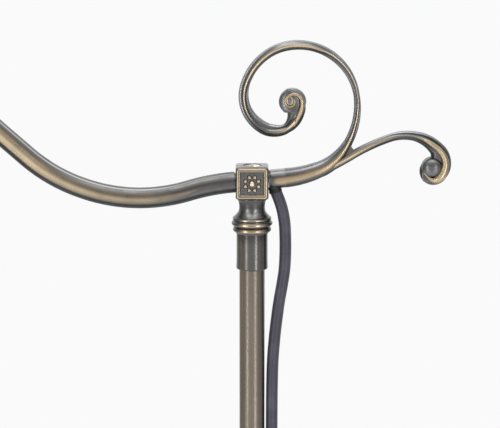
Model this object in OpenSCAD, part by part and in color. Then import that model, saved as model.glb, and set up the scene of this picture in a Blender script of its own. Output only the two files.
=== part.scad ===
// Bridge floor lamp: a weighted round foot, a two-piece pole, and a swivelling head whose bridge
// arm carries a bell shade on one side and a cast double scroll on the other.
// Millimetres, +Z up, origin on the floor at the pole's axis; the arm reaches towards -X.

/* [Overall] */
// Height of the arm's axis in the head block above the floor
arm_height = 1350; // [1200:10:1600]
// Running clearance between pieces that turn on each other
turn_gap = 0.05; // [0.02:0.01:0.1]
// Loose clearance between a piece and one that only covers it
slip_gap = 0.3; // [0.2:0.05:0.5]

/* [Foot] */
// Diameter of the foot over its rim
foot_d = 280; // [240:5:340]
// Height of the foot's upright rim
foot_rim_h = 13; // [12:0.5:18]
// Wall of the spun foot cover
cover_wall = 1.6; // [1.2:0.1:2.5]
// Thickness of the felt under the foot
felt_t = 3; // [2:0.5:4]
// Height of the foot's crown above the floor
crown_h = 56; // [54:1:66]
// Radius of the crown's flat seat
crown_r = 30; // [26:1:36]
// Height of the turned casting that holds the pole
foot_neck_h = 58; // [48:1:80]

/* [Pole] */
// Outer diameter of the pole
pole_d = 16; // [15:0.2:18.4]
// Wall of the pole tubes
pole_wall = 1.2; // [1:0.1:1.6]
// Height of the joint between the two pole tubes
pole_joint_h = 700; // [500:10:800]
// Depth that the pole sinks into the foot's casting
pole_seat = 40; // [30:1:46]
// Distance of the cord's entry slot below the arm's axis
entry_drop = 341; // [341:1:341]

/* [Head] */
// Edge of the square head block
block_w = 20.6; // [20:0.2:23]
// Side of the sunk panel in the block's faces
panel_w = 14.6; // [13.6:0.2:15.6]
// Depth of the sunk panel
panel_depth = 1.1; // [0.8:0.1:1.4]
// Length of the sleeve under the rings
sleeve_h = 24; // [20:1:34]
// Wall of the sleeve
sleeve_wall = 1.25; // [1:0.05:1.6]
// Diameter of the swivel spindle
spindle_d = 6; // [5:0.5:6.5]

/* [Arm] */
// Outer diameter of the arm tube
arm_d = 12.7; // [11.7:0.1:13.2]
// Wall of the arm tube
arm_wall = 1.2; // [1:0.1:1.5]
// Slope at which the arm passes through the block, degrees
block_slope = 5; // [4:0.5:6]
// Bend radius of the rise beside the block
rise_bend = 136; // [120:2:150]
// Bend radius of the dip
dip_bend = 105; // [95:1:115]
// Length of the straight run up to the arch
arch_run = 75; // [60:1:95]
// Bend radius of the arch
arch_bend = 75; // [62:1:90]
// Length of the straight end that goes into the knuckle
tip_run = 9; // [8.5:0.5:16]

/* [Scroll] */
// Half width of the cast stem where it leaves the block
stem_half = 6.1; // [5.8:0.1:6.4]
// Depth of the casting against its width
scroll_depth = 0.95; // [0.85:0.01:1]
// Radius of the button that ends the large scroll
volute_r = 8.6; // [8:0.1:9.2]
// Radius of the curl that ends the small scroll
curl_r = 9; // [8.6:0.1:9.6]
// Length of the straight stem between the block and the scrolls
stem_len = 10.8; // [10.4:0.1:12]

/* [Shade] */
// Radius of the shade at its lower rim
shade_r = 79; // [70:1:95]
// Height of the shade
shade_h = 128; // [124:1:150]
// Thickness of the shade's glass
shade_t = 3; // [2:0.25:3.5]
// Radius of the lip that the holder grips
lip_r = 28.6; // [28:0.2:31]

/* [Socket] */
// Radius of the socket's outer shell
shell_r = 17.2; // [17:0.1:18.5]
// Height of the socket's outer shell
shell_h = 42; // [40:1:48]
// Radius of the bulb
bulb_r = 23.5; // [20:0.5:30]
// Radius of the pivot discs in the knuckle
knuckle_r = 8.4; // [8:0.1:9.5]

/* [Cord] */
// Diameter of the mains lead
cord_d = 6.8; // [6.8:0.1:6.8]
// Diameter of one insulated core inside the arm
core_d = 2.2; // [1.8:0.1:2.3]
// Direction in which the lead leaves the foot, degrees from +X
cord_dir = 110; // [110:1:110]
// Distance between the turns of the coil, centre to centre
coil_pitch = 7.4; // [7.3:0.1:8]
// Radius of the coil's innermost turn
coil_in = 28; // [28:0.5:30]
// Number of turns in one layer of the coil
layer_turns = 3.25; // [2.75:0.5:3.75]

/* [Hidden] */
$fn = 96;

bronze = [0.36, 0.32, 0.26];
dark_bronze = [0.27, 0.27, 0.26];
brass = [0.62, 0.53, 0.38];
steel = [0.62, 0.63, 0.64];
iron = [0.2, 0.2, 0.2];
lead_grey = [0.3, 0.3, 0.33];
opal = [0.93, 0.88, 0.78];

foot_r = foot_d / 2;
pole_r = pole_d / 2;
pole_bore = pole_r - pole_wall;
arm_r = arm_d / 2;
arm_bore = arm_r - arm_wall;
cord_r = cord_d / 2;
core_r = core_d / 2;
core_off = core_r + 0.1;
half = block_w / 2;

// ---- shared helpers ----------------------------------------------------------------------

// Points along an arc of a flat outline, angles in degrees
function bow(c, r, a, b, n = 6) = [for (i = [0:n]) c + r * [cos(a + (b - a) * i / n), sin(a + (b - a) * i / n)]];

// A ring, tube or washer about Z
module ring(r_out, r_in, z, h) {
    translate([0, 0, z]) difference() {
        cylinder(r = r_out, h = h);
        translate([0, 0, -1]) cylinder(r = r_in, h = h + 2);
    }
}

// A turned solid about Z from an outline of [radius, height]
module turned(outline) rotate_extrude() polygon(outline);

// A rounded bead about Z
module bead(r_at, z, r) translate([0, 0, z]) rotate_extrude() translate([r_at, 0]) circle(r = r, $fn = 32);

module hex_nut(across, bore, h) difference() {
    cylinder(r = across / sqrt(3), h = h, $fn = 6);
    translate([0, 0, -1]) cylinder(r = bore, h = h + 2);
}

// ---- foot --------------------------------------------------------------------------------

cover_gap = 0.6;                          // space between the weight and the cover
rim_z = 1;                                // the rim stays this far off the floor
lead_z = 8;                               // height at which the lead leaves the foot
wire_bend = 4 * cord_d;                   // bend radius of the lead inside the foot
nipple_r = 6.4;
nut_h = 4;
washer_t = 2;
nipple_low = lead_z + wire_bend + 1.2;    // lower end of the nipple
web_z = nipple_low + nut_h + washer_t + 1;
weight_top = crown_h - cover_wall - cover_gap;
neck_bottom = crown_h;
pole_bottom = neck_bottom + foot_neck_h - pole_seat;
nipple_high = pole_bottom - 1;
weight_hole = 16;

// Outline of the foot's outside, from the rim up to the crown: rim, bead, shallow sweep, step,
// crown dome and flat seat
shoulder_r = foot_r - 7;
step_r = 0.46 * foot_r;
step_z = rim_z + foot_rim_h + 14;
foot_outline = concat(
    [[foot_r, rim_z]],
    bow([foot_r - 3, foot_rim_h - 3 + rim_z], 3, 0, 90, 4),
    [[shoulder_r, foot_rim_h + rim_z], [shoulder_r - 1, foot_rim_h + rim_z + 2]],
    sweep_up([shoulder_r - 1, foot_rim_h + rim_z + 2], [step_r, step_z], 10),
    [[step_r - 1, step_z + 3]],
    sweep_over([step_r - 1, step_z + 3], [crown_r + 2, crown_h - 2], 8),
    [[crown_r, crown_h]]);

// A hollow sweep that starts flat and ends steep, and a full one that starts steep and ends flat
function sweep_up(a, b, n) = [for (i = [1:n]) let (t = i / n)
    [a.x + (b.x - a.x) * sin(90 * t), a.y + (b.y - a.y) * (1 - cos(90 * t))]];
function sweep_over(a, b, n) = [for (i = [1:n]) let (t = i / n)
    [a.x + (b.x - a.x) * (1 - cos(90 * t)), a.y + (b.y - a.y) * sin(90 * t)]];

// The foot's outline moved in by a distance, cut level at z
function inset(points, d, z) = [for (p = points) [p.x - d, max(p.y - d, z)]];

channel_w = cord_d + 2;                   // way for the lead under the weight
module lead_channel(width, h) rotate([0, 0, cord_dir])
    translate([0, -width / 2, felt_t - 1]) cube([foot_r + 5, width, h]);
module on_rim(r) rotate([0, 0, cord_dir]) translate([r, 0, lead_z]) rotate([0, 90, 0]) children();

module felt_pad() color("darkolivegreen") ring(foot_r - 8, weight_hole, 0, felt_t);

module base_weight() color(iron) difference() {
    turned(concat([[0, felt_t]], [[foot_r - cover_wall - cover_gap, felt_t]],
        inset(foot_outline, cover_wall + cover_gap, felt_t), [[0, weight_top]]));
    translate([0, 0, -1]) cylinder(r = weight_hole, h = web_z + 1);
    cylinder(r = nipple_r + slip_gap, h = crown_h);
    lead_channel(channel_w, lead_z + channel_w / 2 - felt_t + 1);
    rotate([0, 0, cord_dir]) translate([0, -channel_w / 2, felt_t - 1]) cube([wire_bend, channel_w, nipple_low]);
    on_rim(foot_r - 6) cylinder(r = bushing_r + slip_gap, h = 12);
}

module base_cover() color(bronze) difference() {
    turned(concat([[foot_r - cover_wall, rim_z]], foot_outline,
        [[nipple_r + slip_gap, crown_h], [nipple_r + slip_gap, crown_h - cover_wall]],
        [for (i = [len(foot_outline) - 1:-1:1]) foot_outline[i] - [cover_wall, cover_wall]]));
    on_rim(foot_r - 12) cylinder(r = bushing_r + turn_gap, h = 20);
}

module base_washer() color(steel) ring(13, nipple_r + slip_gap, web_z - washer_t, washer_t);

module base_locknut() color(steel) translate([0, 0, web_z - washer_t - nut_h])
    hex_nut(18, nipple_r, nut_h);

module base_nipple() color(steel) ring(nipple_r, cord_r + 1, nipple_low, nipple_high - nipple_low);

// Turned casting with a foot ring, waist and collar
module base_neck() color(bronze) difference() {
    union() {
        turned(concat([[0, neck_bottom], [crown_r - 3, neck_bottom], [crown_r - 3, neck_bottom + 3]],
            sweep_up([crown_r - 3, neck_bottom + 4], [pole_r + 6, neck_bottom + foot_neck_h * 0.5], 10),
            [[pole_r + 4, neck_bottom + foot_neck_h * 0.55]],
            [[pole_r + 2.6, neck_bottom + foot_neck_h - 9], [pole_r + 2.6, neck_bottom + foot_neck_h],
             [0, neck_bottom + foot_neck_h]]));
        bead(crown_r - 3, neck_bottom + 2.2, 2.2);
        bead(pole_r + 5, neck_bottom + foot_neck_h * 0.53, 2);
        bead(pole_r + 2.6, neck_bottom + foot_neck_h - 7, 1.8);
        bead(pole_r + 2.2, neck_bottom + foot_neck_h - 2, 1.4);
    }
    translate([0, 0, pole_bottom]) cylinder(r = pole_r + turn_gap, h = pole_seat + 5);
    translate([0, 0, neck_bottom - 1]) cylinder(r = nipple_r, h = foot_neck_h);
}

// Tapered strain relief in the foot's rim: a flange inside and out, and a long cone
bushing_r = 5.6;
relief_len = 28;
relief_tip_r = cord_r + 0.9;
module cord_bushing() color(lead_grey) difference() {
    union() {
        on_rim(foot_r - cover_wall - 1.4) cylinder(r = bushing_r, h = cover_wall + 2.6);
        on_rim(foot_r + 0.9) cylinder(r = bushing_r + 0.7, h = 1.6);
        on_rim(foot_r + 2.5) cylinder(r1 = bushing_r, r2 = relief_tip_r, h = relief_len - 2.5);
    }
    on_rim(foot_r - 20) cylinder(r = cord_r + turn_gap, h = 60);
}

// ---- pole --------------------------------------------------------------------------------

// Heights in the head, measured from the arm's axis
rings_bottom = -32;
pole_top = arm_height - 33;
coupler_h = 44;

module lower_pole() color(bronze) ring(pole_r, pole_bore, pole_bottom, pole_joint_h - pole_bottom);

module pole_coupler() color(steel)
    ring(pole_bore, pole_bore - 1.6, pole_joint_h - coupler_h / 2, coupler_h);

// Turned ring that hides the joint
module joint_ring() color(brass) difference() {
    union() {
        translate([0, 0, pole_joint_h - 13]) cylinder(r = pole_r + 1.6, h = 26);
        bead(pole_r + 1.8, pole_joint_h, 3);
        bead(pole_r + 1.4, pole_joint_h - 6, 1.7);
        bead(pole_r + 1.4, pole_joint_h + 6, 1.7);
        bead(pole_r + 1, pole_joint_h - 11.6, 1.3);
        bead(pole_r + 1, pole_joint_h + 11.6, 1.3);
    }
    translate([0, 0, pole_joint_h - 20]) cylinder(r = pole_r + turn_gap, h = 40);
}

// Long slot with round ends in the pole's side towards +X, as a bar along X
slot_z = arm_height - entry_drop;
slot_w = 9.4;
slot_h = 25;
lining = 0.9;
module slot_bar(w, h, x0, x1) for (s = [-1, 1]) translate([x0, 0, slot_z]) {
    translate([0, 0, s * (h - w) / 2]) rotate([0, 90, 0]) cylinder(r = w / 2, h = x1 - x0);
    translate([0, -w / 2, -(h - w) / 2]) cube([x1 - x0, w, h - w]);
}

module upper_pole() color(bronze) difference() {
    ring(pole_r, pole_bore, pole_joint_h, pole_top - pole_joint_h);
    slot_bar(slot_w, slot_h, 1, pole_r + 5);
}

// Rubber lining of the slot, with a lip inside and outside the tube's wall
module pole_grommet() color(iron) difference() {
    union() {
        intersection() {
            ring(pole_r, pole_bore, slot_z - 20, 40);
            slot_bar(slot_w, slot_h, 1, pole_r + 5);
        }
        intersection() {
            ring(pole_r + 1.1, pole_r, slot_z - 20, 40);
            slot_bar(slot_w + 2.4, slot_h + 2.4, 1, pole_r + 5);
        }
    }
    slot_bar(slot_w - 2 * lining, slot_h - 2 * lining, 0, pole_r + 6);
}

// Plug in the pole's top with the spindle on which the head turns
stud_flange = 1.5;
washer_thick = 0.6;
web_bottom = pole_top + stud_flange + washer_thick + turn_gap;
web_top = arm_height - 20;
nut_thick = 4.2;
module swivel_stud() color(steel) {
    translate([0, 0, pole_top - 14]) cylinder(r = pole_bore, h = 14);
    translate([0, 0, pole_top]) cylinder(r = pole_r - 0.2, h = stud_flange);
    translate([0, 0, pole_top]) cylinder(r = spindle_d / 2, h = web_top + nut_thick + 1.5 - pole_top);
}

module swivel_washer() color(brass)
    ring(pole_r - 0.4, spindle_d / 2 + turn_gap, pole_top + stud_flange, washer_thick);

module swivel_nut() color(steel) translate([0, 0, web_top + turn_gap])
    hex_nut(9, spindle_d / 2, nut_thick);

// The lead inside the pole, from the slot down and out through the foot's channel
wire_top = slot_z - 40;
cord_heading = [cos(cord_dir), sin(cord_dir), 0];
wire_points = concat([[0, 0, wire_top]],
    [for (a = [0:15:90]) wire_bend * (1 - cos(a)) * cord_heading
        + [0, 0, lead_z + wire_bend * (1 - sin(a))]],
    [(foot_r + relief_len) * cord_heading + [0, 0, lead_z]]);
module pole_wire() color(lead_grey) swept_tube(wire_points, cord_r, 10);

// ---- the lead: free stretches and coil ---------------------------------------------------

// Points of the loop beside the pole: [x, y, height below the arm's axis]
loop_route = [[13.73, 0, 2.92], [15, 0, 7.1], [16.8, 0, 12.5], [18.5, 0, 18.5], [19.8, 0, 26],
    [20.4, 0, 34], [20.5, 0, 45], [20, 0, 56], [18.6, 0, 66], [16.8, 0, 77], [15.2, 0, 89], [13.8, 0, 102],
    [12.7, 0, 120], [12.4, 0, 150], [12.4, 0, 190], [12.6, 0, 235], [13.1, 0, 275],
    [13.4, 0, 303], [13.4, 0, 322], [12.8, 0, 329], [11, 0, 336], [8, 0, 342], [5.4, 0, 346.7],
    [2.4, 0, 353], [0.6, 0, 360], [0, 0, 367], [0, 0, 381]];

// Points of the lead on the floor from the strain relief to the coil: [x, y, z]
floor_route = [[-57.5, 157.9, 8], [-60.5, 166, 7.6], [-66, 177, 6.6], [-76, 187, 5.4],
    [-91, 195.5, 4.6], [-108, 200, 4.2], [-126, 202, 4.1], [-146, 202, 4.1], [-157.5, 202, 4.1]];

// Catmull-Rom point between b and c
function blend4(a, b, c, d, t) = 0.5 * (2 * b + (c - a) * t + (2 * a - 5 * b + 4 * c - d) * t * t
    + (3 * b - a - 3 * c + d) * t * t * t);
function smooth_route(p, n) = let (last = len(p) - 1) concat(
    [for (i = [0:last - 1], k = [0:n - 1])
        blend4(p[max(i - 1, 0)], p[i], p[i + 1], p[min(i + 2, last)], k / n)], [p[last]]);

// A closed tube of round section swept along points; the section turns with the route
function unit(v) = v / norm(v);
function tangent(p, i) = unit(p[min(i + 1, len(p) - 1)] - p[max(i - 1, 0)]);
function carried(p, i) = i == 0
    ? let (t = tangent(p, 0)) unit(cross(cross(t, abs(t.y) < 0.9 ? [0, 1, 0] : [0, 0, 1]), t))
    : let (t = tangent(p, i), v = carried(p, i - 1)) unit(v - t * (v * t));
function frames(p) = [for (i = 0, v = carried(p, 0); i < len(p);
    i = i + 1, v = i < len(p) ? unit(v - tangent(p, i) * (v * tangent(p, i))) : v) v];
module swept_tube(p, r, sides) {
    side = frames(p);
    n = len(p);
    rings = [for (i = [0:n - 1], k = [0:sides - 1])
        let (u = side[i], w = cross(tangent(p, i), side[i]), a = 360 * (k + 0.5) / sides)
        p[i] + r * (u * cos(a) + w * sin(a))];
    walls = [for (i = [0:n - 2], k = [0:sides - 1]) let (a = i * sides + k,
        b = i * sides + (k + 1) % sides) each [[a, a + sides, b], [b, a + sides, b + sides]]];
    first = [for (k = [1:sides - 2]) [0, k, k + 1]];
    top = (n - 1) * sides;
    last = [for (k = [1:sides - 2]) [top, top + k + 1, top + k]];
    polyhedron(rings, concat(walls, first, last));
}

// The loop keeps off the pole: lower down it moves out with the pole's radius
loop_pole_r = 8;                          // pole radius that the loop's points are given for
loop_out = pole_r - loop_pole_r;
loop_leaves = 45;                         // depths between which the loop comes to lie along the pole
loop_lies = 120;
loop_enters = 336;                        // depths between which it goes in at the slot
loop_inside = 353;
function loop_share(depth) = ease(min(1, max(0, (depth - loop_leaves) / (loop_lies - loop_leaves))))
    * min(1, max(0, (loop_inside - depth) / (loop_inside - loop_enters)));
loop_points = [for (p = loop_route) [p.x + loop_out * loop_share(p.z), p.y, arm_height - p.z]];
module cord_loop() color(lead_grey) swept_tube(smooth_route(loop_points, 2), cord_r, 10);

// The floor stretch and the coil move out with the foot's rim
floor_foot_r = 140;                       // foot radius that their points are given for
floor_shift = (foot_r - floor_foot_r) * cord_heading;
floor_points = [for (p = floor_route) p + floor_shift];
module floor_cord() color(lead_grey) swept_tube(smooth_route(floor_points, 2), cord_r, 10);

// The coil: in along the lower layer, up in the half turn where it reverses, out along the upper
coil_centre = [-165 + floor_shift.x, 149.95 + floor_shift.y];
coil_floor = 4.1;                         // height of the lower layer's axis
coil_out = coil_in + coil_pitch * layer_turns;
coil_dip = 2;                             // how far the climbing half turn draws in
ring_per_turn = 24;
coil_turns = 2 * layer_turns + 0.5;
coil_lead = 7.5;                          // straight length at each end
function ease(t) = t * t * (3 - 2 * t);
function coil_radius(u) = u < layer_turns ? coil_out - coil_pitch * u
    : u < layer_turns + 0.5 ? coil_in - coil_dip * sin(360 * (u - layer_turns))
    : coil_in + coil_pitch * (u - layer_turns - 0.5);
function coil_height(u) = coil_floor + coil_pitch * ease(min(1, max(0, (u - layer_turns) * 2)));
function coil_point(u) = let (r = coil_radius(u), a = 90 + 360 * u)
    [coil_centre.x + r * cos(a), coil_centre.y + r * sin(a), coil_height(u)];
coil_first = coil_point(0);
coil_last = coil_point(coil_turns);
coil_end_dir = 180 + 360 * coil_turns;    // heading at the outer end of the upper layer
coil_points = concat(
    [coil_first + [coil_lead, 0, 0]],
    [for (i = [0:coil_turns * ring_per_turn]) coil_point(i / ring_per_turn)],
    [coil_last + coil_lead * [cos(coil_end_dir), sin(coil_end_dir), 0]]);
// Least distance of the tube to itself, between points more than half a turn apart
coil_gap = min([for (i = [0:len(coil_points) - 1])
    min([for (j = [i + 12:max(i + 12, len(coil_points) - 1)])
        j < len(coil_points) ? norm(coil_points[i] - coil_points[j]) : 99])]) - cord_d;
coil_length = [for (i = [0:len(coil_points) - 2]) norm(coil_points[i + 1] - coil_points[i])]
    * [for (i = [0:len(coil_points) - 2]) 1];
module cord_coil() {
    echo(coil_gap = coil_gap, coil_length = coil_length);
    color(lead_grey) swept_tube(coil_points, cord_r, 6);
}

// Flat tie round the coil's bundle
tie_t = 0.6;
tie_w = 9;
tie_angle = 215;
tie_clear = 0.3;
module cord_tie() color(iron) translate([coil_centre.x, coil_centre.y, 0]) rotate([0, 0, tie_angle])
    translate([coil_in - coil_dip - cord_r, 0, 0]) {
        wide = coil_out - coil_in + coil_dip + cord_d;
        tall = coil_floor + coil_pitch + cord_r + tie_clear;
        difference() {
            translate([-tie_clear - tie_t, -tie_w / 2, 0])
                cube([wide + 2 * (tie_clear + tie_t), tie_w, tall + tie_t]);
            translate([-tie_clear, -tie_w, tie_t])
                cube([wide + 2 * tie_clear, 2 * tie_w, tall - tie_t]);
        }
    }

// Two-blade plug lying on the floor where the coil's outer end points
plug_len = 30;
plug_taper = 34;
plug_half_h = coil_floor + coil_pitch;    // the body rests on the floor
plug_half_w = plug_half_h + 1.6;
module at_plug() translate(coil_last + coil_lead * [cos(coil_end_dir), sin(coil_end_dir), 0])
    rotate([0, 0, coil_end_dir]) children();
module plug_body() color(lead_grey) at_plug() union() {
    rotate([0, 90, 0]) cylinder(r1 = cord_r + 0.6, r2 = 6, h = plug_taper);
    translate([plug_taper, 0, 0]) hull() for (x = [0, plug_len], y = [-1, 1])
        translate([x, y * (plug_half_w - plug_half_h + (x > 0 ? 1.4 : 0)), 0])
            rotate([0, 90, 0]) cylinder(r = plug_half_h - (x > 0 ? 0 : 2), h = 0.5, $fn = 32);
}
module plug_blades() color(brass) at_plug() for (s = [-1, 1])
    translate([plug_taper + plug_len + 0.5, s * 6.35 - 0.75, -3.2]) difference() {
        cube([17, 1.5, 6.4]);
        translate([13.5, -1, 3.2]) rotate([-90, 0, 0]) cylinder(r = 1.4, h = 4);
    }

// ---- head --------------------------------------------------------------------------------

module in_head() translate([0, 0, arm_height]) children();

sleeve_r_in = pole_r + slip_gap;
sleeve_r = sleeve_r_in + sleeve_wall;
sleeve_tongue = 4;
tongue_wall = sleeve_wall * 0.6;
module pole_sleeve() color(dark_bronze) in_head() difference() {
    union() {
        turned(concat([[0, rings_bottom], [sleeve_r, rings_bottom], [sleeve_r, rings_bottom - sleeve_h + 4]],
            [[sleeve_r + 0.15, rings_bottom - sleeve_h + 2.4]],
            bow([sleeve_r - 0.9, rings_bottom - sleeve_h + 1.2], 1.05, 0, -80, 4),
            [[0, rings_bottom - sleeve_h]]));
        translate([0, 0, rings_bottom]) cylinder(r = sleeve_r_in + tongue_wall, h = sleeve_tongue);
    }
    translate([0, 0, rings_bottom - sleeve_h - 1]) cylinder(r = sleeve_r_in, h = sleeve_h + 10);
}

// Waist and three rings over the sleeve, heights from the arm's axis
nut_room = 5.7;
spigot_r = 7;
spigot_h = 1.8;
module neck_casting() color(dark_bronze) in_head() difference() {
    union() {
        turned([[0, -half], [9.4, -half], [9.4, -half - 1], [8.7, -half - 2.6], [8.2, -half - 4.4],
            [8.05, -half - 6.2], [8.3, -half - 8], [9.1, -half - 9.4], [10.4, -half - 10.5],
            [11.3, -half - 11.4], [11.3, rings_bottom + 0.6], [10.4, rings_bottom], [0, rings_bottom]]);
        bead(11, -half - 12.8, 1.25);
        bead(11.2, -half - 15.9, 1.55);
        bead(10.2, -half - 19.4, 1.75);
        translate([0, 0, -half]) cylinder(r = spigot_r, h = spigot_h);
    }
    translate([0, 0, web_top - arm_height]) cylinder(r = nut_room, h = 30);
    translate([0, 0, -40]) cylinder(r = spindle_d / 2 + turn_gap, h = 40);
    translate([0, 0, rings_bottom - 1])
        cylinder(r = pole_r, h = web_bottom - arm_height - rings_bottom + 1);
    ring(sleeve_r_in + tongue_wall, pole_r - 0.1, rings_bottom - 1, sleeve_tongue + 1);
}

// The block: rounded cube with a sunk rosette panel front and back, a plugged hole on top and
// a necked stub for the arm tube
stub_r = arm_r - 0.45;
stub_len = 1.7;
tenon_len = 4.5;
tenon_r = arm_bore - 0.2;
wire_way = 3.6;
plug_hole_r = 5.5;
block_round = 1.3;
socket_r = 4.8;                           // hole that takes the finial's spigot
module rosette() {
    sphere(r = 2, $fn = 48);
    for (i = [0:7]) rotate([0, 22.5 + 45 * i, 0]) translate([4.3, 0, 0]) sphere(r = 0.85, $fn = 32);
}
module rounded_bar(w, r, h) linear_extrude(height = h, center = true) union() {
    square([w - 2 * r, w], center = true);
    square([w, w - 2 * r], center = true);
    for (x = [-1, 1], y = [-1, 1]) translate([x * (w / 2 - r), y * (w / 2 - r)]) circle(r = r, $fn = 32);
}
module head_block() color(dark_bronze) in_head() difference() {
    union() {
        difference() {
            intersection() {
                rounded_bar(block_w, block_round, block_w);
                rotate([90, 0, 0]) rounded_bar(block_w, block_round, block_w);
            }
            for (s = [-1, 1]) translate([0, s * half, 0]) cube([panel_w, 2 * panel_depth, panel_w], center = true);
        }
        for (s = [-1, 1]) translate([0, s * (half - panel_depth), 0]) rosette();
        rotate([0, -block_slope, 0]) rotate([0, -90, 0]) cylinder(r = stub_r, h = half + stub_len);
        rotate([0, -block_slope, 0]) rotate([0, -90, 0])
            cylinder(r = tenon_r, h = half + stub_len + tenon_len);
    }
    rotate([0, -block_slope, 0]) rotate([0, -90, 0]) cylinder(r = wire_way, h = 40);
    rotate([0, -block_slope, 0]) rotate([0, 90, 0]) translate([0, 0, -1]) cylinder(r = socket_r, h = 40);
    cylinder(r = plug_hole_r, h = 30);
    translate([0, 0, -half - 1]) cylinder(r = spigot_r + turn_gap, h = spigot_h + 1 + turn_gap);
    translate([0, 0, -half - 1]) cylinder(r = nut_room, h = spigot_h + 2);
}

module top_plug() color(brass) in_head() difference() {
    translate([0, 0, half - 4.5]) cylinder(r = plug_hole_r - turn_gap, h = 3.1);
    translate([-10, -0.7, half - 2.7]) cube([20, 1.4, 3]);
}

// ---- arm ---------------------------------------------------------------------------------

// The arm's axis in the XZ plane: a pitch is the slope of the way towards -X
function turn_up(p, r, a, b) = p + r * [sin(a), cos(a)] - r * [sin(b), cos(b)];
function turn_down(p, r, a, b) = p - r * [sin(a), cos(a)] + r * [sin(b), cos(b)];
function onward(p, len, a) = p + len * [-cos(a), sin(a)];
rise_pitch = -17;
climb_pitch = 42;
arm_0 = onward([0, arm_height], half + stub_len, -block_slope);
arm_1 = turn_down(arm_0, rise_bend, -block_slope, rise_pitch);
arm_2 = turn_up(arm_1, dip_bend, rise_pitch, climb_pitch);
arm_3 = onward(arm_2, arch_run, climb_pitch);
arm_4 = turn_down(arm_3, arch_bend, climb_pitch, -90);
tip_x = arm_4.x;
tip_z = arm_4.y - tip_run;

// Points along the arm's axis, each [x, z, pitch]
bend_step = 6;
function steps(a, b) = ceil(abs(b - a) / bend_step);
function with_pitch(p, a) = [p.x, p.y, a];
arm_axis = concat(
    [for (i = [0:steps(-block_slope, rise_pitch) - 1]) let (a = -block_slope + (rise_pitch + block_slope)
        * i / steps(-block_slope, rise_pitch)) with_pitch(turn_down(arm_0, rise_bend, -block_slope, a), a)],
    [for (i = [0:steps(rise_pitch, climb_pitch) - 1]) let (a = rise_pitch + (climb_pitch - rise_pitch)
        * i / steps(rise_pitch, climb_pitch)) with_pitch(turn_up(arm_1, dip_bend, rise_pitch, a), a)],
    [with_pitch(arm_2, climb_pitch)],
    [for (i = [0:steps(climb_pitch, -90)]) let (a = climb_pitch - (90 + climb_pitch)
        * i / steps(climb_pitch, -90)) with_pitch(turn_down(arm_3, arch_bend, climb_pitch, a), a)],
    [[tip_x, tip_z, -90]]);

// A pipe of many-sided section along [x, z, pitch] points in a plane of given y; bored if asked
function pipe_ring(p, r, y, sides) = [for (k = [0:sides - 1]) let (a = 360 * k / sides)
    [p.x + r * cos(a) * sin(p[2]), y + r * sin(a), p.y + r * cos(a) * cos(p[2])]];
module pipe(axis, r, y = 0, sides = 20, bore = 0) {
    n = len(axis);
    outer = [for (p = axis) each pipe_ring(p, r, y, sides)];
    inner = bore > 0 ? [for (p = axis) each pipe_ring(p, bore, y, sides)] : [];
    m = n * sides;
    skin = [for (i = [0:n - 2], k = [0:sides - 1]) let (a = i * sides + k,
        b = i * sides + (k + 1) % sides) each [[a, a + sides, b], [b, a + sides, b + sides]]];
    lining = bore > 0 ? [for (f = skin) [f[0] + m, f[2] + m, f[1] + m]] : [];
    top = m - sides;
    ends = bore > 0
        ? [for (k = [0:sides - 1]) let (q = (k + 1) % sides) each
            [[k, q, k + m], [q, q + m, k + m], [top + k, top + k + m, top + q], [top + q, top + k + m, top + q + m]]]
        : [for (k = [1:sides - 2]) each [[0, k, k + 1], [top, top + k + 1, top + k]]];
    polyhedron(concat(outer, inner), concat(skin, lining, ends));
}

module bridge_arm() color(bronze) pipe(arm_axis, arm_r, bore = arm_bore);

// The two cores from the lead's end in the bushing, through the block and along the arm
exit_tilt = 17;                           // lean of the lead's way out, away from the pole
exit_turn = 90 - exit_tilt + block_slope; // bend of the cores from the arm into the bushing
core_bend = 3.4;
core_reach = core_bend * tan(exit_turn / 2);
corner_x = 12.5;                          // where the way out meets the arm's axis
corner = [corner_x, arm_height + corner_x * tan(block_slope)];
exit_pitch = -90 - exit_tilt;
sheath_at = 4.2;                          // distance from that corner at which the sheath begins
sheath_end = onward(corner, sheath_at, exit_pitch);
core_axis = concat([with_pitch(sheath_end, exit_pitch + 180)],
    [for (i = [0:5]) let (a = exit_pitch + 180 - exit_turn * i / 5)
        with_pitch(turn_down(onward(corner, core_reach, exit_pitch), core_bend, exit_pitch + 180, a), a)],
    arm_axis);
module arm_wire() color(iron) for (s = [-1, 1]) pipe(core_axis, core_r, s * core_off, 8);

// ---- cast double scroll ------------------------------------------------------------------

stem_foot = half * [1, tan(block_slope)];
stem_end = stem_foot + stem_len * [cos(block_slope), sin(block_slope)];
// Each row is [bend radius, turn in degrees, half width at its end]; a right turn is negative
big_rows = [[63.2, 17.3, 5.4], [41.2, 40.4, 2.8], [47.3, 37.3, 2], [37.4, 45.5, 2.8], [36.5, 37.5, 3.1],
    [35.2, 67.1, 2.9], [24.6, 82.6, 3.6], [13.8, 63.1, 3.2], [13.4, 47.1, 5.4], [6.2, 26.9, 6.9]];
small_rows = [[86.5, 17, 4], [61.7, 4.9, 2.9], [200.1, 4.1, 2.7], [-118.5, 12.7, 2.6], [-28.9, 28.9, 3.1],
    [-24.3, 38.5, 4.8], [-10.5, 55.1, 7.4], [-6.3, 32.8, 8.5]];

// Walk along the rows: a list of [x, z, heading, half width]
function step_row(at, row, t) = let (s = sign(row[0]), r = abs(row[0]), d = row[1] * t,
    h = at[2], g = at[2] + s * d)
    [at.x + s * r * (sin(g) - sin(h)), at.y - s * r * (cos(g) - cos(h)), g, at[3] + (row[2] - at[3]) * t];
function walk(rows, at, i = 0) = i == len(rows) ? [at] : let (n = max(2, ceil(rows[i][1] / 9)))
    concat([for (k = [0:n - 1]) step_row(at, rows[i], k / n)], walk(rows, step_row(at, rows[i], 1), i + 1));

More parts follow.
